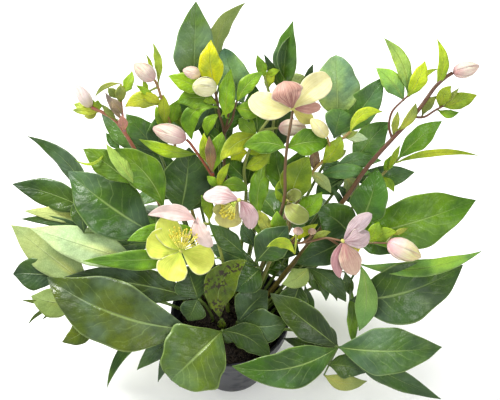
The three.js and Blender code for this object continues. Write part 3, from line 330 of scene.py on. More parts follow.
def petiole_line(start, hub):
    """A leaf's stalk: low leaves arch over the rim, high ones stand almost straight."""
    top = raised(start, STALK_TOP_Z)
    reach = float(np.linalg.norm(hub - top))
    arch = LOW_ARCH if hub[2] < LOW_HUB else HIGH_ARCH
    up = np.array([0, 0, reach * arch])
    a, b = top + (hub - top) * 0.25 + up, top + (hub - top) * 0.7 + up * 0.7
    curve = [(1 - t) ** 3 * top + 3 * t * (1 - t) ** 2 * a + 3 * t * t * (1 - t) * b + t ** 3 * hub
             for t in np.linspace(0, 1, 20)]
    return [start] + curve


# ---- Meshes ----
def linked(name, data):
    piece = bpy.data.objects.new(name, data)
    bpy.context.scene.collection.objects.link(piece)
    return piece


class Shape:
    """Faces gathered for one piece, with the tints that they carry."""

    def __init__(self):
        self.points, self.faces, self.uvs = [], [], []
        self.tints = {"tint": [], "streak": [], "leafy": []}
        self.count = 0

    def add(self, points, faces, uv, tint, streak, leafy=(0, 0, 0)):
        self.points.append(np.asarray(points, float))
        self.faces.extend([tuple(i + self.count for i in f) for f in faces])
        self.uvs.append(np.asarray(uv, float))
        for key, value in (("tint", tint), ("streak", streak), ("leafy", leafy)):
            self.tints[key].append(np.broadcast_to(np.asarray(value, float), (len(points), 3)))
        self.count += len(points)

    def mesh_object(self, name, materials):
        mesh = bpy.data.meshes.new(name)
        points = np.concatenate(self.points) * MM
        mesh.from_pydata(points.tolist(), [], self.faces)
        for material in materials:
            mesh.materials.append(material)
        loops = np.zeros(len(mesh.loops), np.int32)
        mesh.loops.foreach_get("vertex_index", loops)
        layer = mesh.uv_layers.new(name="UVMap")
        layer.data.foreach_set("uv", np.concatenate(self.uvs)[loops].astype(np.float32).ravel())
        for key, values in self.tints.items():
            rgb = np.concatenate(values)
            colours = np.concatenate([rgb, np.ones((len(rgb), 1))], axis=1)
            attribute = mesh.attributes.new(key, "FLOAT_COLOR", "POINT")
            attribute.data.foreach_set("color", colours.astype(np.float32).ravel())
        mesh.polygons.foreach_set("use_smooth", [True] * len(mesh.polygons))
        mesh.update()
        return linked(name, mesh)


def grid_faces(rows, columns):
    stride = columns + 1
    return [(i * stride + j, i * stride + j + 1, (i + 1) * stride + j + 1, (i + 1) * stride + j)
            for i in range(rows) for j in range(columns)]


def select_only(piece):
    bpy.ops.object.select_all(action="DESELECT")
    piece.select_set(True)
    bpy.context.view_layer.objects.active = piece


def thicken(piece, thickness):
    """Gives a sheet its thickness, and its back the second material."""
    solidify = piece.modifiers.new("Thickness", "SOLIDIFY")
    solidify.thickness = thickness * MM
    solidify.offset = 0
    solidify.use_rim = True
    solidify.material_offset = 1
    select_only(piece)
    bpy.ops.object.modifier_apply(modifier=solidify.name)


def joined(name, pieces):
    bpy.ops.object.select_all(action="DESELECT")
    for piece in pieces:
        piece.select_set(True)
    bpy.context.view_layer.objects.active = pieces[0]
    if len(pieces) > 1:
        bpy.ops.object.join()
    pieces[0].name = name
    pieces[0].data.name = name
    return pieces[0]


def tube(shape, line, radii, sides, tint, streak, ends=0.35):
    """A round stalk along a line, closed by domed ends. tint may be one colour or one a point."""
    n = len(line)
    tints = np.broadcast_to(np.asarray(tint, float), (n, 3))
    reference = np.array([1.0, 0, 0])
    points, uv, shades = [], [], []
    length = 0
    for i, p in enumerate(line):
        along = unit(line[min(n - 1, i + 1)] - line[max(0, i - 1)])
        first = reference - along * float(reference @ along)
        if np.linalg.norm(first) < 0.1:
            first = np.cross(along, [0, 1, 0])
        reference = first = unit(first)
        second = np.cross(along, first)
        length += float(np.linalg.norm(p - line[i - 1])) if i else 0
        for j in range(sides):
            points.append(p + swung(first, second, 2 * math.pi * j / sides) * radii[i])
            uv.append((length * 0.1, j / sides))
            shades.append(tints[i])
    faces = [(i * sides + j, i * sides + (j + 1) % sides, (i + 1) * sides + (j + 1) % sides, (i + 1) * sides + j)
             for i in range(n - 1) for j in range(sides)]
    start, end = len(points), len(points) + 1
    points += [line[0] - unit(line[1] - line[0]) * radii[0] * ends,
               line[-1] + unit(line[-1] - line[-2]) * radii[-1] * ends]
    uv += [(0, 0.5), (length * 0.1, 0.5)]
    shades += [shades[0], shades[-1]]
    faces += [(start, (j + 1) % sides, j) for j in range(sides)]
    last = (n - 1) * sides
    faces += [(end, last + j, last + (j + 1) % sides) for j in range(sides)]
    shape.add(points, faces, uv, np.array(shades), streak)


ROOT_HALF, TIP_HALF = 0.6, 0.12
FOLD, WAVE, FULLER = 0.16, 0.05, 1.08
FLAT_WIDTH, FLAT_FOLD, FLAT_WAVE = 26, 0.07, 0.5
BELLY, EDGE_RISE = 0.012, 1.15


def fullness(t, widest, blunt):
    if t < widest:
        return math.sin(math.pi / 2 * t / widest) ** 1.2
    return max(0.0, math.cos(math.pi / 2 * (t - widest) / (1 - widest))) ** blunt


def lay_blade(shape, line, row, phase, facing, steps, ripple, uneven, tint, streak, leafy, cup=None):
    """A blade on its midrib: folded along it, waved at its edges and rolled about it.

    A sepal's cup is how deep it is folded. A leaf or bract has none: its fold goes by its width.
    """
    along_steps, across_steps = steps
    start, middle, end = line
    row = list(row) + [None] * (8 - len(row))
    width = row[2]
    turn = math.radians(row[5] or 0)
    widest, blunt = row[6] or 0.5, row[7] or 1
    flat = width <= FLAT_WIDTH and cup is None
    control = 2 * middle - (start + end) / 2
    across = None
    points, uv = [], []
    for i in range(along_steps + 1):
        t = i / along_steps
        centre = bezier(start, control, end, t)
        along = unit((control - start) * (1 - t) + (end - control) * t)
        side = np.cross(along, facing)
        if np.linalg.norm(side) > 0.2 or across is None:
            across = unit(side)
        else:
            across = unit(across - along * float(across @ along))
        face = np.cross(across, along)
        wing, out = swung(across, face, turn), swung(face, -across, turn)
        full = width / 2 * fullness(t, widest, blunt) * (FULLER if cup is None else 1)
        half = max(ROOT_HALF if t < 0.5 else TIP_HALF, full)
        sides = [half * (1 + uneven * (math.sin(phase * 2 + t * 11 + k) + 0.6 * math.sin(phase + t * 23 + 2 * k)))
                 for k in (0, 2.4)]
        swing = WAVE * width * math.sin(math.pi * t)
        fold = FLAT_FOLD if flat else (FOLD if cup is None else cup)
        edge = [fold * half + (FLAT_WAVE if flat else 1) * swing * math.sin(phase * k + t * m)
                for k, m in ((1, 9), (2, 8))]
        for j in range(across_steps + 1):
            v = 2 * j / across_steps - 1
            right = int(v >= 0)
            lift = edge[right] * abs(v) ** EDGE_RISE
            lift += ripple * v * v * math.sin(phase * 3 + t * 21 + 2 * (1 - right)) * math.sin(math.pi * t)
            lift += BELLY * width * math.sin(math.pi * abs(v)) * math.sin(math.pi * t)
            points.append(centre + wing * (v * sides[right]) + out * lift)
            uv.append((t, (v + 1) / 2))
    shape.add(points, grid_faces(along_steps, across_steps), uv, tint, streak, leafy)


# ---- Finishes ----
class Wiring:
    """Short ways to add and join the nodes of one finish."""

    def __init__(self, name):
        self.material = bpy.data.materials.new(name)
        self.material.use_nodes = True
        self.tree = self.material.node_tree
        self.shader = self.tree.nodes["Principled BSDF"]
        self.coords = self.tree.nodes.new("ShaderNodeTexCoord")

    def feed(self, socket, value):
        if isinstance(value, bpy.types.NodeSocket):
            self.tree.links.new(value, socket)
        elif isinstance(value, tuple) and len(value) == 3 and len(socket.default_value) == 4:
            socket.default_value = (*value, 1)
        elif value is not None:
            socket.default_value = value

    def node(self, kind, *values, **settings):
        """Adds a node with its settings, and feeds its inputs in their order, but for those given as None."""
        node = self.tree.nodes.new("ShaderNode" + kind)
        for key, setting in settings.items():
            setattr(node, key, setting)
        for socket, value in zip(node.inputs, values):
            self.feed(socket, value)
        return node

    def calc(self, operation, a, b=0.0, c=0.0, clamp=False):
        return self.node("Math", a, b, c, operation=operation, use_clamp=clamp).outputs[0]

    times = partialmethod(calc, "MULTIPLY")
    plus = partialmethod(calc, "ADD")
    minus = partialmethod(calc, "SUBTRACT")
    scaled = partialmethod(calc, "MULTIPLY_ADD")
    size = partialmethod(calc, "ABSOLUTE")
    most = partialmethod(calc, "MAXIMUM")

    def mix(self, share, a, b, blend="MIX"):
        return self.node("Mix", share, *[None] * 5, a, b, data_type="RGBA", blend_type=blend).outputs[2]

    def dyed(self, colour, dye):
        return self.mix(1.0, colour, dye, "MULTIPLY")

    def ramp(self, value, *stops):
        """A smooth step: between the first two stops it goes from the third to the fourth, or from 0 to 1."""
        return self.node("MapRange", value, *stops, interpolation_type="SMOOTHSTEP").outputs[0]

    def noise(self, scale, detail=2.0, where=None):
        return self.node("TexNoise", where or self.coords.outputs["Object"], None, scale, detail).outputs["Fac"]

    def cells(self, scale, feature="DISTANCE_TO_EDGE"):
        texture = self.node("TexVoronoi", feature=feature)
        texture.inputs["Scale"].default_value = scale
        self.feed(texture.inputs["Vector"], self.coords.outputs["Object"])
        return texture.outputs["Distance"]

    def carried(self, name, output="Color"):
        """What the mesh carries under this name."""
        return self.node("Attribute", attribute_name=name).outputs[output]

    def stripes(self, along, across):
        """Noise that is drawn out along a blade or stalk."""
        run, turn = self.uv()
        return self.noise(1.0, 2, self.node("CombineXYZ", self.times(run, along), self.times(turn, across)).outputs[0])

    def uv(self):
        return self.node("SeparateXYZ", self.coords.outputs["UV"]).outputs[:2]

    def bump(self, height, strength, distance):
        relief = self.node("Bump", strength, distance)
        self.feed(relief.inputs["Height"], height)
        self.feed(self.shader.inputs["Normal"], relief.outputs[0])

    def done(self, colour, roughness, specular=0.5):
        self.feed(self.shader.inputs["Base Color"], colour)
        self.feed(self.shader.inputs["Roughness"], roughness)
        self.shader.inputs["Specular IOR Level"].default_value = specular
        return self.material


def leaf_blade(name, underside, veins, shine):
    """A blistered blade: midrib, side veins that sweep to the tip, a fine net and a pale margin."""
    w = Wiring(name)
    along, across = w.uv()
    off = w.size(w.scaled(across, 2.0, -1.0))
    waver = w.scaled(w.noise(42, 3), 1.7, -0.85)
    sweep = w.scaled(off, -2.3, w.scaled(along, veins, waver))
    comb = w.size(w.scaled(w.calc("FRACT", sweep), 2.0, -1.0))
    side_vein = w.times(w.ramp(comb, 0.87, 1.0), w.ramp(off, 1.0, 0.5, 0.05, 1.0))
    side_vein = w.times(side_vein, w.ramp(w.noise(34, 2), 0.35, 0.62, 0.15, 1.0))
    rib = w.ramp(w.scaled(along, 0.045, off), 0.085, 0.03)
    rib = w.times(rib, w.ramp(along, 1.0, 0.1, 0.35, 1.0))
    net = w.ramp(w.cells(430), 0.0, 0.2, 1.0, 0.0)
    blister = w.cells(150, "SMOOTH_F1")
    margin = w.ramp(off, 0.93, 1.0)
    patch = w.noise(38, 3)
    base = w.carried("streak" if underside else "tint")
    veined, painted_sheen_share, speckled = w.node("SeparateXYZ", w.carried("leafy", "Vector")).outputs
    shade = w.dyed(base, (0.34, 0.42, 0.34) if not underside else (0.74, 0.78, 0.66))
    base = w.dyed(base, (1.14, 1.04, 0.4) if not underside else (1.0, 1.0, 0.9))
    toned = w.mix(w.ramp(patch, 0.36, 0.68, 0.0, 0.8), base, shade)
    warm = w.dyed(toned, (1.65, 1.3, 0.8))
    toned = w.mix(w.ramp(w.noise(17, 2), 0.46, 0.66, 0.0, 0.3 if underside else 0.8), toned, warm)
    toned = w.mix(w.ramp(off, 0.6, 1.0, 0.0, 0.1 if underside else 0.3), toned, warm)
    # Painted light: a lighter yellow-green zone along the midrib near the base stands in for light on the blade's
    # curve.
    painted_midrib_light = w.times(w.ramp(off, 0.42, 0.02), w.ramp(along, 0.75, 0.08, 0.0, 0.8))
    toned = w.mix(painted_midrib_light, toned, warm)
    toned = w.mix(w.times(net, 0.3), toned, w.dyed(toned, (0.5, 0.6, 0.45)))
    bright = w.mix(0.6, toned, (0.38, 0.52, 0.16)) if not underside else w.mix(0.5, toned, (0.5, 0.6, 0.3))
    lines = w.most(w.times(side_vein, 0.36), w.times(rib, 0.85))
    lines = w.most(lines, w.times(margin, 0.7))
    colour = w.mix(w.times(lines, veined, clamp=True), toned, bright)
    specks = w.times(w.ramp(w.noise(300, 2), 0.49, 0.57), speckled, clamp=True)
    specks = w.times(specks, w.ramp(w.noise(46, 1), 0.45, 0.55, 0.15, 1.0))
    colour = w.mix(specks, colour, (0.03, 0.022, 0.012))
    # Painted sheen: soft grey-green patches stand in for reflections of the bright air on the gloss, in the share that
    # each blade carries.
    painted_sheen = w.times(w.ramp(w.noise(24, 3), 0.42, 0.66, 0.1, 1.0), painted_sheen_share, clamp=True)
    colour = w.mix(w.times(painted_sheen, 0.5), colour, (0.17, 0.26, 0.19))
    quilting = w.times(w.ramp(comb, 0.3, 1.0), 0.1)
    height = w.minus(w.times(w.noise(150, 2), 0.4), quilting)
    height = w.plus(height, w.times(blister, -0.75))
    height = w.minus(height, w.times(rib, -0.8 if underside else 0.8))
    height = w.minus(height, w.times(net, 0.05))
    w.bump(height, 0.75, 0.0016)
    rough = w.scaled(w.ramp(patch, 0.35, 0.65), 0.26, 0.46 if underside else shine)
    return w.done(colour, rough, 0.15 if underside else 0.25)


def petal(name, main, veins):
    """Satin sepal with fine lengthwise striation and a stain at its base."""
    w = Wiring(name)
    along, across = w.uv()
    vein_tint = w.carried("streak")
    base = w.carried(main)
    stripes = w.stripes(1.6, 34.0)
    fine = w.noise(260, 2)
    lines = w.times(w.ramp(stripes, 0.47, 0.6, 0.0, veins), w.ramp(along, 1.0, 0.3, 0.4, 1.0))
    colour = w.mix(lines, base, vein_tint)
    colour = w.mix(w.ramp(along, 0.42, 0.0, 0.0, 0.6), colour, vein_tint)
    rim = w.size(w.scaled(across, 2.0, -1.0))
    colour = w.mix(w.ramp(rim, 0.86, 1.0, 0.0, 0.55), colour, (0.86, 0.84, 0.68))
    colour = w.mix(w.ramp(fine, 0.35, 0.7, 0.0, 0.3), colour, w.dyed(colour, (0.8, 0.76, 0.66)))
    colour = w.dyed(colour, (0.7, 0.685, 0.67))
    w.bump(w.plus(w.times(stripes, 0.8), w.times(fine, 0.3)), 0.4, 0.0008)
    w.shader.inputs["Subsurface Weight"].default_value = 0.15
    w.shader.inputs["Subsurface Radius"].default_value = (0.004, 0.003, 0.002)
    w.shader.inputs["Sheen Weight"].default_value = 0.15
    return w.done(colour, w.scaled(fine, 0.2, 0.42), 0.4)


def stalk_skin(name, rough):
    """Smooth stalk with faint lengthwise ribs, freckles and the stain that its tints give."""
    w = Wiring(name)
    ribs = w.stripes(2.0, 16.0)
    freckles = w.ramp(w.noise(900, 1), 0.6, 0.68)
    base = w.carried("tint")
    colour = w.mix(w.ramp(ribs, 0.4, 0.7, 0.0, 0.6), base, w.carried("streak"))
    colour = w.mix(w.times(freckles, 0.35), colour, w.dyed(colour, (0.6, 0.4, 0.4)))
    w.bump(ribs, 0.35, 0.0006)
    return w.done(colour, rough, 0.35)


def anther_powder():
    w = Wiring("anther_powder")
    grains = w.cells(2600, "F1")
    base = w.carried("tint")
    colour = w.mix(w.ramp(grains, 0.1, 0.6, 0.0, 0.6), base, w.dyed(base, (0.72, 0.62, 0.35)))
    w.bump(grains, 0.6, 0.0004)
    return w.done(colour, 0.75, 0.3)


def pot_plastic():
    """Dark moulded plastic with a fine grain, faint drag lines and scattered patches of dust."""
    w = Wiring("pot_plastic")
    grain = w.noise(900, 2)
    scuff = w.ramp(w.noise(55, 4), 0.5, 0.78)
    stretched = w.node("Mapping", w.coords.outputs["Object"], None, None, (30, 30, 900))
    rings = w.noise(1.0, 1, stretched.outputs[0])
    colour = w.mix(w.times(scuff, 0.45), (0.015, 0.016, 0.022), (0.045, 0.045, 0.052))
    colour = w.mix(w.ramp(rings, 0.45, 0.75, 0.0, 0.25), colour, (0.012, 0.013, 0.018))
    w.bump(w.plus(w.times(grain, 0.5), w.times(rings, 0.5)), 0.25, 0.0004)
    return w.done(colour, w.scaled(scuff, 0.3, 0.4), 0.25)


def peat_with_painted_shade():
    w = Wiring("peat_with_painted_shade")
    crumb = w.cells(420, "F1")
    fibre = w.noise(260, 4)
    # The peat is coloured darker than its own brown, as painted shade from the leaves over it.
    colour = w.mix(w.ramp(fibre, 0.3, 0.75), (0.004, 0.003, 0.002), (0.024, 0.016, 0.01))
    colour = w.mix(w.ramp(w.noise(1400, 1), 0.68, 0.72, 0.0, 0.6), colour, (0.15, 0.13, 0.11))
    w.bump(w.plus(crumb, fibre), 0.9, 0.002)
    return w.done(colour, 0.93, 0.2)


def pale_floor():
    w = Wiring("pale_floor")
    w.bump(w.noise(300, 2), 0.03, 0.0005)
    return w.done(w.mix(w.ramp(w.noise(3, 2), 0.3, 0.7), (0.93, 0.93, 0.93), (0.95, 0.95, 0.95)), 0.75, 0.2)


LEAF_TOP = leaf_blade("glossy_leaf", False, 9.0, 0.22)
LEAF_UNDER = leaf_blade("leaf_underside", True, 9.0, 0.5)
BRACT_TOP = leaf_blade("soft_bract", False, 8.0, 0.3)
BRACT_UNDER = leaf_blade("bract_underside", True, 8.0, 0.5)
SEPAL_INSIDE = petal("sepal_inside", "tint", 0.55)
SEPAL_OUTSIDE = petal("sepal_outside", "leafy", 0.85)
STALK_SKIN = stalk_skin("stalk_skin", 0.4)
ANTHER_POWDER = anther_powder()
POT_PLASTIC = pot_plastic()
PEAT_WITH_PAINTED_SHADE = peat_with_painted_shade()


def ink(code):
    """A colour from its six hex digits to what the shader reads."""
    values = [int(code[i:i + 2], 16) / 255 for i in (0, 2, 4)]
    return tuple(v / 12.92 if v < 0.04 else ((v + 0.055) / 1.055) ** 2.4 for v in values)


def mixed(a, b, share):
    return tuple(x * (1 - share) + y * share for x, y in zip(a, b))


def inks(words, mark=None):
    return [ink(word) for word in words.split(mark)]


# For each blade of a leaf: "top/underside veins sheen specks", where sheen is the share of painted sheen on its top. An
# underside that isn't given is pale, and the last blade stands for those after it.
# The front leaves' tops are tinted darker than their own green, as painted shade.
# leaf_right_upper's tops are partly lightened as painted sheen, and the mint tops of leaf_back_right's first blade and
# leaf_back_left's third blade are painted sheen.
LEAF_LOOKS = """
leaf_front_left: 384c1a .8 .5; 365824 .6 .2
leaf_front: 425e22 1 .4; 2c461a .6 .1
leaf_front_right: 42663c 1 .6; 325224 .6 .3; 32561c 1 .3; 2e4c1c .6 .2; 28441c/848e54 .7 0; 263c14 .8 .2
leaf_right_low: 2e4e24 .8 .2; 466e34/688c50 .8 0; 507a32 .7 .1; 608c54/c4dcba .7 .5
leaf_right: 4e7c1a 1 .1; 345a24 .7 .3; 2e4e22 .7 .4; 3c682c .7 .2
leaf_right_upper: 508040 .8 .6; 467238 .7 .5; 54863e .8 .5; 3a602c .6 .4
leaf_back_right: 7ea496/829c78 1 .4; 426c38 .7 .4; 507c4a/c4dcba .7 .8
leaf_back: 3e6426 .6 .5; 325028 .6 .4
leaf_back_left: 44682e .8 .7; 4c6026/849654 .7 .1; 82b0a6/a5cdb9 .7 .3; 2e4e22 .7 .4
leaf_left_upper: 385e28 .7 .5
leaf_mid_left: 2e501c .9 .3; 2c4c1c .8 .3
leaf_left: 30541c .9 .5; 2c4a1e .7 .4
leaf_left_low: 4c6026/b0c69a .8 .2
leaf_left_under: 4c6026/8ea06e .8 0; 2c482a .6 .2; 4c6026/74864c .6 0; 465a20 .6 0
leaf_left_mid: 2a3e1a .7 .5; 2e4a1e .7 .3
leaf_front_speckled: 546c24 .8 0 1
leaf_centre_low: 2c4824 .8 .5
leaf_centre: 2e4e22 .8 .4
leaf_centre_right: 2e4c20/88a064 .7 .3
"""
# The colour of each stem low down and high up.
STEM_LOOKS = """
stem_far_left: 827442 a66250
stem_left_bright: 789646 8caa46
stem_upper_left: 828c46 966e46
stem_pink_left: 786e3c 92422e
stem_centre: 504a24 543a24
stem_back: 6e823c 828c46
stem_mid: 788c3c 78823c
stem_top_flower: 545828 624630
stem_yellow_right: 828642 927646
stem_right: 706430 5c362a
stem_olive: 6e823c 827842
stem_young: 687434 76523c
stem_nodding: 6e783c 78643c
stem_yellow_flower: 788c3c 969646
"""
PALE, PAINTED_SHADE_GREEN = ink("a8b678"), ink("28441c")
LIME, YELLOW_LIME, GRASS, BROAD_GREEN = ink("82ac2e"), ink("b2bc30"), ink("62942a"), ink("4e8026")
BRIGHT_STEMS = ("stem_centre", "stem_upper_left", "stem_back", "stem_mid", "stem_yellow_right", "stem_young",
                "stem_right")
PLUM, PLUM_STEMS = ink("826478"), ("stem_far_left", "stem_right", "stem_yellow_right", "stem_young")
# Bracts of a tint of their own, by their number on the stem.
BRACT_TINTS = """
stem_far_left: 2=7c6e82 4=9270ac 5=a4b654 6=9eb450 8=7a6c86
stem_pink_left: 3=706070
stem_centre: 0=a8b824 3=74a22c 4=66962a 5=64922c 6=7ca830
stem_right: 0=86ae7c 1=80ae70 2=98b632 4=88a02a 6=8ca62e 7=96b632
stem_young: 12=a8c03e
stem_mid: 0=88a636 2=96ae2c 3=6c942e
stem_yellow_right: 0=809c30 1=a0b836 2=766270
stem_upper_left: 1=92aa46 3=a0b254
"""
PETIOLE_TINT, PETIOLE_SHADE, REAR_GREEN = ink("5c7032"), ink("405024"), ink("3a5e2a")
# How far edges ripple (a share of the width, and the most in mm), and how uneven outlines are.
LEAF_RIPPLE, BRACT_RIPPLE = (0.035, 1.8), (0.07, 1.3)
LEAF_UNEVEN, FRONT_UNEVEN, REAR_UNEVEN, BRACT_UNEVEN = 0.035, 0.07, 0.03, 0.05
PETIOLE_RADII, STEM_RADII, BRANCH_RADII = (1.75, 1.5), (2.2, 1.35), (1.35, 1.0)


# The third number is the share of painted sheen on the blade's top.
def leaf_look(sides, veins, painted_sheen, specks=0):
    top, *under = inks(sides, "/")
    return top, under[0] if under else PALE, (float(veins), float(painted_sheen), float(specks))


LEAF_LOOKS = {head[0]: [leaf_look(*look.split()) for look in looks.split(";")] for head, looks in entries(LEAF_LOOKS)}
STEM_LOOKS = {head[0]: inks(words) for head, words in entries(STEM_LOOKS)}
BRACT_TINTS = {head[0]: {int(i): ink(code) for i, code in (word.split("=") for word in words.split())}
               for head, words in entries(BRACT_TINTS)}


def blade_line(row, hub):
    return midrib(row[0] or hub, row[1], row[3], row[4])


def phase_of(row):
    return math.radians((row[1][0] * 7 + row[1][1] * 13) % 360)


def ripple_of(width, ripple):
    return min(ripple[1], width * ripple[0])


def steps_for(line, width):
    run = float(np.linalg.norm(line[2] - line[0]))
    return max(10, min(34, int(run / 2.6))), 2 * max(3, min(9, int(width / 5)))


def finish_piece(name, sheets, finishes, stalks, thickness=BLADE_THICKNESS):
    """Sheets get their thickness, stalks join them, and the piece stands for its solid."""
    blades_piece = sheets.mesh_object(name + "_sheets", finishes)
    thicken(blades_piece, thickness)
    piece = joined("fine_" + name, [blades_piece, stalks.mesh_object(name + "_stalks", [STALK_SKIN])])
    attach(piece, "root")
    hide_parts(name)


def leaf_stalk(centre, turn):
    stalks = Shape()
    line = petiole_line(foot(centre, turn), centre)
    tube(stalks, line, np.linspace(*PETIOLE_RADII, len(line)), 10, PETIOLE_TINT, PETIOLE_SHADE)
    return stalks


def make_leaf(name, turn, hub, rows):
    sheets, centre = Shape(), place(hub)
    stalks = leaf_stalk(centre, turn)
    looks = LEAF_LOOKS[name]
    uneven = FRONT_UNEVEN if name == "leaf_front" else LEAF_UNEVEN
    for i, row in enumerate(rows + FINE_TIPS.get(name, [])):
        top, under, leafy = looks[min(i, len(looks) - 1)]
        blade = blade_line(row, hub)
        lay_blade(sheets, blade, row, phase_of(row), SIGHT, steps_for(blade, row[2]), ripple_of(row[2], LEAF_RIPPLE),
                  uneven, top, under, leafy)
        if np.linalg.norm(blade[0] - centre) > 0.9:
            tube(stalks, [centre, blade[0], blade[0] * 0.9 + blade[1] * 0.1], [1.1, 0.8, 0.5], 8,
                 mixed(PETIOLE_TINT, top, 0.4), PETIOLE_SHADE)
    finish_piece(name, sheets, [LEAF_TOP, LEAF_UNDER], stalks)


def make_rear_leaf(name, degrees, reach, height, leaflets):
    sheets, azimuth = Shape(), math.radians(degrees)
    centre = np.array([reach * math.cos(azimuth), reach * math.sin(azimuth), height])
    for k in range(leaflets):
        turn = azimuth + math.radians((k - (leaflets - 1) / 2) * REAR_SPREAD)
        out = np.array([math.cos(turn), math.sin(turn), 0])
        blade = [centre, centre + out * REAR_LENGTH / 2 + [0, 0, REAR_RISE],
                 centre + out * REAR_LENGTH - [0, 0, REAR_DROP]]
        lay_blade(sheets, blade, [0, 0, REAR_WIDTH, 0, 0, 0, 0.55], k, np.array([0, 0, 1.0]), (28, 12), 0.6,
                  REAR_UNEVEN, REAR_GREEN, PALE, (0.8, 0.2, 0))
    finish_piece(name, sheets, [LEAF_TOP, LEAF_UNDER], leaf_stalk(centre, 0))


# ---- Seats of buds and flowers on the ends of stalks, as on the solids ----
SEAT_GAP, FLOWER_SEAT_GAP, FLOWER_HEART, YOUNG_HEART = 0.5, 0.85, 2.6, 2.0


def axes_along(along):
    first = unit(along)
    second = unit(np.cross(first, SIGHT))
    return [first, second, np.cross(first, second)]


def ball_reach(radius, axes, towards):
    return radius / sum(abs(float(axis @ towards)) for axis in axes)


def seat_of(name, before):
    for bud, base, tip, width in BUDS:
        if bud == name:
            centre = place(base)
            towards = unit(before - centre)
            tilt = float(np.linalg.norm(np.cross(towards, unit(place(tip) - centre))))
            return centre + towards * (SEAT_GAP + 0.12 * width / 2 * tilt)
    for painted_sheen, hub, _, root, _, _ in FLOWERS:
        if painted_sheen == name:
            centre = place(hub)
            towards = unit(before - centre)
            reach = ball_reach(FLOWER_HEART, axes_along(place(root) - centre), towards)
            return centre + towards * (FLOWER_SEAT_GAP + reach)
    centre = place(YOUNG_HUB)
    towards = unit(before - centre)
    return centre + towards * (FLOWER_SEAT_GAP + ball_reach(YOUNG_HEART, np.eye(3), towards))


def path_points(path):
    points = [place(stop) for stop in path if not isinstance(stop, str)]
    return points + [seat_of(path[-1], points[-1])] if isinstance(path[-1], str) else points


def bract_look(name, row, i):
    """Broad bracts low on a stem are grass green; small ones near the buds turn yellow lime."""
    share = max(0.0, min(1.0, ((row[0][2] + row[1][2]) / 2 - 200) / 120))
    slim = max(0.0, min(1.0, (20 - row[2]) / 12))
    top = mixed(mixed(BROAD_GREEN, GRASS, slim), LIME, 0.15 + 0.45 * share * slim)
    top = mixed(top, YELLOW_LIME, slim * (0.2 + 0.2 * math.sin(i * 2.1)))
    if name in BRIGHT_STEMS:
        top = mixed(top, LIME if i % 4 else YELLOW_LIME, 0.3 + 0.2 * slim)
    if name == "stem_left_bright" and row[2] > 20:
        top = ink("4c741c")
    # Painted shade: broad fill blades in the hollows are tinted deep green, darker still low down.
    if row in FINE_TIPS.get(name, []) and row[2] >= 14:
        top = mixed(BROAD_GREEN, PAINTED_SHADE_GREEN, 0.55 if row[0][2] > 180 else 0.9)
    if name in PLUM_STEMS and slim > 0.6 and i % 2:
        top = mixed(top, PLUM, 0.4)
    top = BRACT_TINTS.get(name, {}).get(i, top)
    return top, mixed(top, ink("aac074"), 0.5)


def make_stem(name, turn, paths, rows, girth):
    sheets, stalks = Shape(), Shape()
    low, high = STEM_LOOKS[name]
    climb = path_points(paths[0])
    start = foot(climb[0], turn)
    spine = [start] + smooth_line([raised(start, STALK_TOP_Z)] + climb, 4)
    lines = list(spine)
    share = np.clip((np.array([p[2] for p in spine]) - 120) / 130, 0, 1)[:, None]
    tints = np.array(low) * (1 - share) + np.array(high) * share
    tube(stalks, spine, np.linspace(*STEM_RADII, len(spine)) * girth, 12, tints, mixed(low, ink("463c1e"), 0.4))
    for path in paths[1:]:
        points = path_points(path)
        line = smooth_line([nearest_of(lines, points[0])] + points[1:], 2.5)
        lines += line
        tube(stalks, line, np.linspace(*BRANCH_RADII, len(line)), 10, high, mixed(high, low, 0.5))
    for i, row in enumerate(rows + FINE_TIPS.get(name, [])):
        blade = blade_line(row, None)
        top, under = bract_look(name, row, i)
        lay_blade(sheets, blade, row, phase_of(row), SIGHT, steps_for(blade, row[2]), ripple_of(row[2], BRACT_RIPPLE),
                  BRACT_UNEVEN, top, under, (1, 0, 0))
        near = nearest_of(lines, blade[0])
        if np.linalg.norm(blade[0] - near) > 0.5:
            tube(stalks, [near, blade[0] * 0.96 + blade[1] * 0.04, blade[0] * 0.85 + blade[1] * 0.15],
                 [1.3, 0.9, 0.5], 8, mixed(top, high, 0.4), top)
    finish_piece(name, sheets, [BRACT_TOP, BRACT_UNDER], stalks)


# ---- Buds: five satin sepals that overlap round a bud ----
# For each bud: the colour of its tip, that of its base, and that of its veins.
BUD_LOOKS = """
bud_cream: f8f6cc ced682 e4e4a0
bud_cream_yellow: f6f0b4 d6d06e e8e296
bud_right: f0f48c f0acbc ecc8b4
bud_far_right: faf0d6 ce8c92 e2b0b2
bud_rose: f4dec8 d8ca8e dcaca6
bud_far_left: f6eae6 cebe8c e2bebe
bud_pink_left: f8e6cc ce949c ce949c
bud_upper_left: f4e4c4 dcacae cea09e
bud_blunt_pink: f6ecd6 ce9696 d8aca0
bud_small_left: d8beaa b4a05a cc9894
bud_small_right: ceb48c b4a05a cc9894
"""
BUD_LOOKS = {head[0]: inks(words) for head, words in entries(BUD_LOOKS)}
BUD_SEPALS, BUD_ROWS, BUD_COLUMNS = 5, 18, 14
SLOW_BLUSH, BUD_MIDDLE = ("bud_right", "bud_far_right", "bud_pink_left", "bud_upper_left"), ink("f8ece0")
BUD_PROFILE = [(0, 0.12), (0.06, 0.5), (0.14, 0.74), (0.3, 0.95), (0.45, 1), (0.62, 0.92), (0.8, 0.68), (0.92, 0.38),
               (1, 0.1)]


def bud_width(t):
    for (a, wa), (b, wb) in zip(BUD_PROFILE, BUD_PROFILE[1:]):
        if t <= b:
            s = (t - a) / (b - a)
            return wa + (wb - wa) * (s * s * (3 - 2 * s) * 0.5 + s * 0.5)
    return BUD_PROFILE[-1][1]


def bud_tint(name, t):
    tint, foot_tint, _ = BUD_LOOKS[name]
    if name in SLOW_BLUSH:
        return mixed(mixed(foot_tint, BUD_MIDDLE, min(1, t * 2)), tint, min(1, max(0, t * 2 - 0.7)))
    return mixed(foot_tint, tint, min(1, t * 2.2))


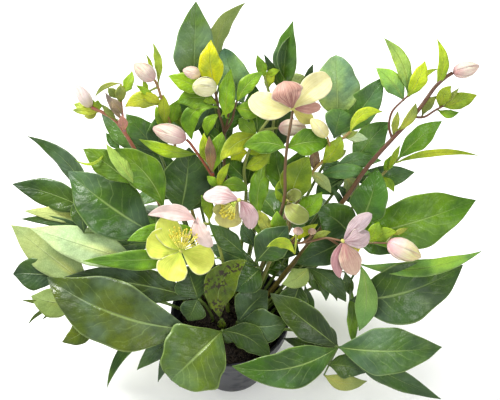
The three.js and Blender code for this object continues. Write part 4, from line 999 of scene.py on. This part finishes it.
def make_bud(name, base, tip, width):
    shell, core = Shape(), Shape()
    start, end = place(base), place(tip)
    along, length = unit(end - start), float(np.linalg.norm(end - start))
    _, first, second = axes_along(along)
    tint, _, vein = BUD_LOOKS[name]
    for k in range(BUD_SEPALS):
        lean = k * 2 * math.pi / BUD_SEPALS * 2 + 0.6
        layer = 1.0 - 0.028 * k
        points, uv, tints = [], [], []
        for i in range(BUD_ROWS + 1):
            t = i / BUD_ROWS
            spread = math.radians(78) * (1 - 0.45 * t ** 3)
            for j in range(BUD_COLUMNS + 1):
                v = 2 * j / BUD_COLUMNS - 1
                angle = lean + spread * v + 0.35 * t
                open_edge = 1 + 0.045 * abs(v) ** 3 * math.sin(math.pi * t)
                radius = width / 2 * bud_width(t) * layer * open_edge
                points.append(start + along * (t * length) + swung(first, second, angle) * radius)
                uv.append((1 - t * 0.9, (v + 1) / 2))
                tints.append(bud_tint(name, t))
        shell.add(points, grid_faces(BUD_ROWS, BUD_COLUMNS), uv, np.array(tints), vein, np.array(tints))
    inner = np.linspace(0.01, 0.97, 14)
    tube(core, [start + along * (t * length) for t in inner],
         [max(0.3, width / 2 * bud_width(t) * 0.84) for t in inner], 16, tint, vein)
    finish_piece(name, shell, [SEPAL_OUTSIDE, SEPAL_OUTSIDE], core,
                 0.35)


# ---- Open flowers ----
# For each sepal: "inside/outside/veins".
SEPAL_LOOKS = """
flower_yellow: ecf860/f6f2c4/bad632 eefa64/f6f2c4/bed834 f0fa6a/f6f2c4/c2da38 e8f462/f6f2c4/b8d234
  f2ded6/e6e682/cea09e f2dcd6/e6e682/cc9c9c
flower_nodding: d6ce96/f0dcdc/c48c92 d6ce96/eed0d4/be7a84 dedc82/d6b4a0/be9678 cece6e/e8dcaa/b4a05a
flower_top: e2d696/d6a896/84423e faf4b4/f0e8aa/e2dc78 faf4b6/f0e8aa/e6dc82 e2ce96/dcaa9a/924a48 e6e478/e2bea0/c8b064
flower_right: d8c496/dcc8ce/96707c d8c496/d4bec2/966e78 d8c496/ce9ca0/9e606c d8c496/e0bea8/ba747a
young_bloom: 96a646/96a054/70603c 9eae4c/8c9256/786042 968264/967e68/6e4c42
"""
SEPAL_LOOKS = {head[0]: [inks(sepal, "/") for sepal in looks.split()] for head, looks in entries(SEPAL_LOOKS)}
SEPAL_STEPS, SEPAL_RIPPLE, SEPAL_UNEVEN, SEPAL_CUP, BROADER = (26, 18), 0.8, 0.02, 0.22, 1.1
STAMENS, STYLES, NECTARIES, FULL_SPRAY, SPIRAL = 60, 5, 9, 1.25, 2.4


def make_sepals(name, node, hub, rows):
    sheets, heart = Shape(), Shape()
    centre = place(hub)
    mean = unit(sum((place(row[1]) for row in rows), np.zeros(3)) / len(rows) - centre)
    for row, (inside, outside, vein) in zip(rows, SEPAL_LOOKS[name]):
        line = blade_line(row, hub)
        if row[0]:
            tube(heart, [centre, (centre + line[0]) / 2, line[0] * 0.92 + line[1] * 0.08], [1.1, 0.8, 0.5], 8,
                 mixed(inside, vein, 0.5), vein)
        if name == "flower_yellow":
            row = row[:2] + [row[2] * BROADER] + row[3:]
        lay_blade(sheets, line, row, phase_of(row), SIGHT, SEPAL_STEPS, SEPAL_RIPPLE, SEPAL_UNEVEN, inside, vein,
                  outside, cup=SEPAL_CUP)
    radius = 2.2 if len(rows) > 3 else 1.7
    tube(heart, [centre - mean * radius * 0.9, centre, centre + mean * radius * 0.9],
         [radius * 0.6, radius, radius * 0.6], 12, ink("bebe64"), ink("a09650"))
    finish_piece(node, sheets, [SEPAL_INSIDE, SEPAL_OUTSIDE], heart, 0.45)


def make_stamens(name, hub, root, middle, spread):
    """A fan of filaments with two-lobed anthers, five pale styles and a ring of tubular nectaries."""
    draw = random.Random(name)
    stalks, anthers = Shape(), Shape()
    heart = place(hub)
    axes = axes_along(place(root) - heart)
    start = heart + axes[0] * (FLOWER_HEART * 2 + SEAT_GAP)
    aim = place(middle)
    forward, first, second = axes_along(aim - start)
    length = float(np.linalg.norm(aim - start))
    tube(stalks, [start - axes[0] * 2.4, start, start + axes[0] * 1.6], [1.2, 2.1, 1.4], 12,
         ink("bec85a"), ink("96aa3c"))
    for k in range(STAMENS):
        angle = k * SPIRAL
        out = spread * FULL_SPRAY * math.sqrt((k + 0.5) / STAMENS)
        reach = length * (0.5 + 0.62 * draw.random()) * (1 - 0.12 * out / max(1, spread))
        end = start + forward * reach + swung(first, second * 0.5, angle) * out
        bow = (start + end) / 2 + swung(first, second, angle) * out * 0.2
        line = [bezier(start + (end - aim) * 0.06, bow, end, t) for t in np.linspace(0, 1, 6)]
        tube(stalks, line, np.linspace(0.42, 0.28, 6), 5, ink("f0ee82"), ink("dede5a"))
        lean = unit(end - line[-2] + np.array([draw.uniform(-1, 1) for _ in range(3)]) * 0.8)
        size = 1.0 + 0.4 * draw.random()
        side = unit(np.cross(lean, forward) + 1e-3) * 0.28 * size
        tone = mixed(ink("eee668"), ink("d6cc4c"), draw.random())
        for lobe in (-1, 1):
            centre = end + side * lobe
            tube(anthers, [centre - lean * size, centre, centre + lean * size],
                 [0.36 * size, 0.62 * size, 0.36 * size], 6, tone, tone)
    for k in range(STYLES):
        drift = swung(first, second, 2 * math.pi * k / STYLES)
        line = [start + forward * length * t + drift * (0.4 + 2.2 * t * t) for t in np.linspace(0, 0.95, 6)]
        tube(stalks, line, np.linspace(0.5, 0.3, 6), 6, ink("d2ce8c"), ink("c89678"))
    for k in range(NECTARIES):
        drift = swung(axes[1], axes[2], 2 * math.pi * k / NECTARIES)
        line = [start + drift * 1.2, start + drift * 2.2 + axes[0] * 1.2, start + drift * 2.7 + axes[0] * 2.8]
        tube(stalks, line, [0.45, 0.7, 0.9], 8, ink("b0c446"), ink("8ca632"), ends=-0.3)
    piece = joined("fine_" + name + "_stamens", [
        anthers.mesh_object(name + "_anthers", [ANTHER_POWDER]), stalks.mesh_object(name + "_filaments", [STALK_SKIN])])
    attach(piece, "root")
    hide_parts(name + "_stamens")


for leaf in LEAVES:
    make_leaf(*leaf)
for leaf in REAR_LEAVES:
    make_rear_leaf(*leaf)
for stem in STEMS:
    make_stem(*stem)
for bud_row in BUDS:
    make_bud(*bud_row)
for flower_name, flower_hub, sepals, *spray in FLOWERS:
    make_sepals(flower_name, flower_name + "_sepals", flower_hub, sepals)
    make_stamens(flower_name, flower_hub, *spray)
make_sepals("young_bloom", "young_bloom", YOUNG_HUB, YOUNG_SEPALS)


# ---- Pot and soil ----
def turned_shell(name, profile, around, material):
    """Turns a profile round the upright axis with spin, welds the seam and faces it outwards."""
    mesh = bpy.data.meshes.new(name)
    mesh.from_pydata([(r * MM, 0, z * MM) for r, z in profile], [(i, i + 1) for i in range(len(profile) - 1)], [])
    piece = linked(name, mesh)
    select_only(piece)
    bpy.ops.object.mode_set(mode="EDIT")
    bpy.ops.mesh.select_all(action="SELECT")
    bpy.ops.mesh.spin(steps=around, angle=2 * math.pi, center=(0, 0, 0), axis=(0, 0, 1))
    bpy.ops.mesh.select_all(action="SELECT")
    bpy.ops.mesh.remove_doubles(threshold=1e-6)
    bpy.ops.mesh.normals_make_consistent(inside=False)
    bpy.ops.object.mode_set(mode="OBJECT")
    piece.data.materials.append(material)
    return piece


def wall_radius(z):
    return BASE_RADIUS + (WALL_TOP_RADIUS - BASE_RADIUS) * z / RIM_BAND_BOTTOM


def inner_radius(z):
    return wall_radius(z) - WALL


def make_pot():
    profile = [(0, 0), (BASE_RADIUS - 1.2, 0), (BASE_RADIUS, 1.2)]
    profile += [(wall_radius(z), z) for z in (6, 12, 30, 60, 86)]
    profile += [(WALL_TOP_RADIUS, RIM_BAND_BOTTOM - 0.4), (WALL_TOP_RADIUS + 2, RIM_BAND_BOTTOM + 0.4),
                (RIM_RADIUS - 0.8, RIM_BAND_BOTTOM + 0.9), (RIM_RADIUS, RIM_BAND_BOTTOM + 2),
                (RIM_RADIUS + 0.4, 97), (RIM_RADIUS + 0.8, 104), (RIM_RADIUS + 1.2, POT_HEIGHT - 2),
                (RIM_RADIUS + 1.0, POT_HEIGHT - 0.6), (RIM_RADIUS + 0.2, POT_HEIGHT),
                (RIM_RADIUS - 1.4, POT_HEIGHT), (RIM_RADIUS - 2.2, POT_HEIGHT - 0.6),
                (RIM_RADIUS - WALL, POT_HEIGHT - 2), (RIM_RADIUS - WALL, RIM_BAND_BOTTOM + 4),
                (inner_radius(RIM_BAND_BOTTOM) + 1, RIM_BAND_BOTTOM),
                (inner_radius(40), 40), (inner_radius(FLOOR), FLOOR), (0, FLOOR)]
    pot = turned_shell("fine_pot", profile, 96, POT_PLASTIC)
    bpy.ops.object.shade_smooth_by_angle(angle=math.radians(35))
    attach(pot, "root")
    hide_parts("pot")


CRUMBS, CRUMB_REACH = 420, 50
LEVEL_TOP, ROUGHNESS = 0.0905, 0.0026


def make_soil():
    draw = random.Random(7)
    profile = [(0, 60), (inner_radius(60) - 0.4, 60), (inner_radius(87) - 0.4, 87), (inner_radius(87) - 0.4, 91)]
    profile += [(r, SOIL_TOP) for r in range(51, 0, -3)] + [(0, SOIL_TOP)]
    soil = turned_shell("fine_soil", profile, 90, PEAT_WITH_PAINTED_SHADE)
    for vertex in soil.data.vertices:
        if vertex.co.z > LEVEL_TOP:
            vertex.co.z += (draw.random() - 0.6) * ROUGHNESS
    crumbs = []
    bpy.ops.mesh.primitive_ico_sphere_add(subdivisions=1, radius=1)
    blank = bpy.context.active_object
    for vertex in blank.data.vertices:
        vertex.co *= 0.75 + 0.5 * draw.random()
    for _ in range(CRUMBS):
        angle, radius = draw.uniform(0, 2 * math.pi), CRUMB_REACH * math.sqrt(draw.random())
        crumb = linked("crumb", blank.data.copy())
        size = draw.uniform(0.6, 2.0)
        turn = draw.uniform(0, 6)
        for vertex in crumb.data.vertices:
            x, y, z = vertex.co
            vertex.co = ((x * math.cos(turn) - y * math.sin(turn)) * size * MM + radius * math.cos(angle) * MM,
                         (x * math.sin(turn) + y * math.cos(turn)) * size * MM + radius * math.sin(angle) * MM,
                         z * size * 0.8 * MM + (SOIL_TOP - 0.2) * MM)
        crumbs.append(crumb)
    bpy.data.objects.remove(blank)
    soil = joined("fine_soil", [soil] + crumbs)
    soil.data.polygons.foreach_set("use_smooth", [True] * len(soil.data.polygons))
    soil.data.materials.clear()
    soil.data.materials.append(PEAT_WITH_PAINTED_SHADE)
    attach(soil, "root")
    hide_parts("soil")


make_pot()
make_soil()


# ---- Floor, light and camera ----
bpy.ops.object.select_all(action="DESELECT")
bpy.ops.mesh.primitive_plane_add(size=12, location=(0, 0, 0))
floor = bpy.context.active_object
floor.name = "floor"
floor.data.materials.append(pale_floor())


def soft_light(name, place_m, size, power, tint=(1, 1, 1)):
    """A round area light that points at the middle of the plant."""
    light = bpy.data.lights.new(name, "AREA")
    light.shape = "DISK"
    light.size = size
    light.energy = power
    light.color = tint
    lamp = linked(name, light)
    lamp.location = place_m
    from_to = np.array((0, 0, 0.2)) - np.array(place_m)
    lamp.rotation_euler = (math.atan2(math.hypot(from_to[0], from_to[1]), -from_to[2]), 0,
                           math.atan2(from_to[0], -from_to[1]) + math.pi)


soft_light("window_left", (-1.3, 0.9, 2.0), 0.9, 100, (1.0, 1.0, 0.97))
soft_light("window_front", (0.9, -1.4, 1.9), 1.2, 26)
world = bpy.data.worlds.new("studio_air")
world.use_nodes = True
air = world.node_tree.nodes["Background"].inputs
air["Color"].default_value = (0.98, 0.99, 1.0, 1)
air["Strength"].default_value = 0.66
bpy.context.scene.world = world
bpy.context.scene.view_settings.view_transform = "Standard"

view = bpy.data.cameras.new("view")
view.lens = 64.8
view.sensor_width = 36
view.clip_end = 40
camera = linked("view", view)
camera.location = (0.0207, -0.4912, 0.9292)
camera.rotation_euler = (math.radians(38), 0, 0)
bpy.context.scene.camera = camera
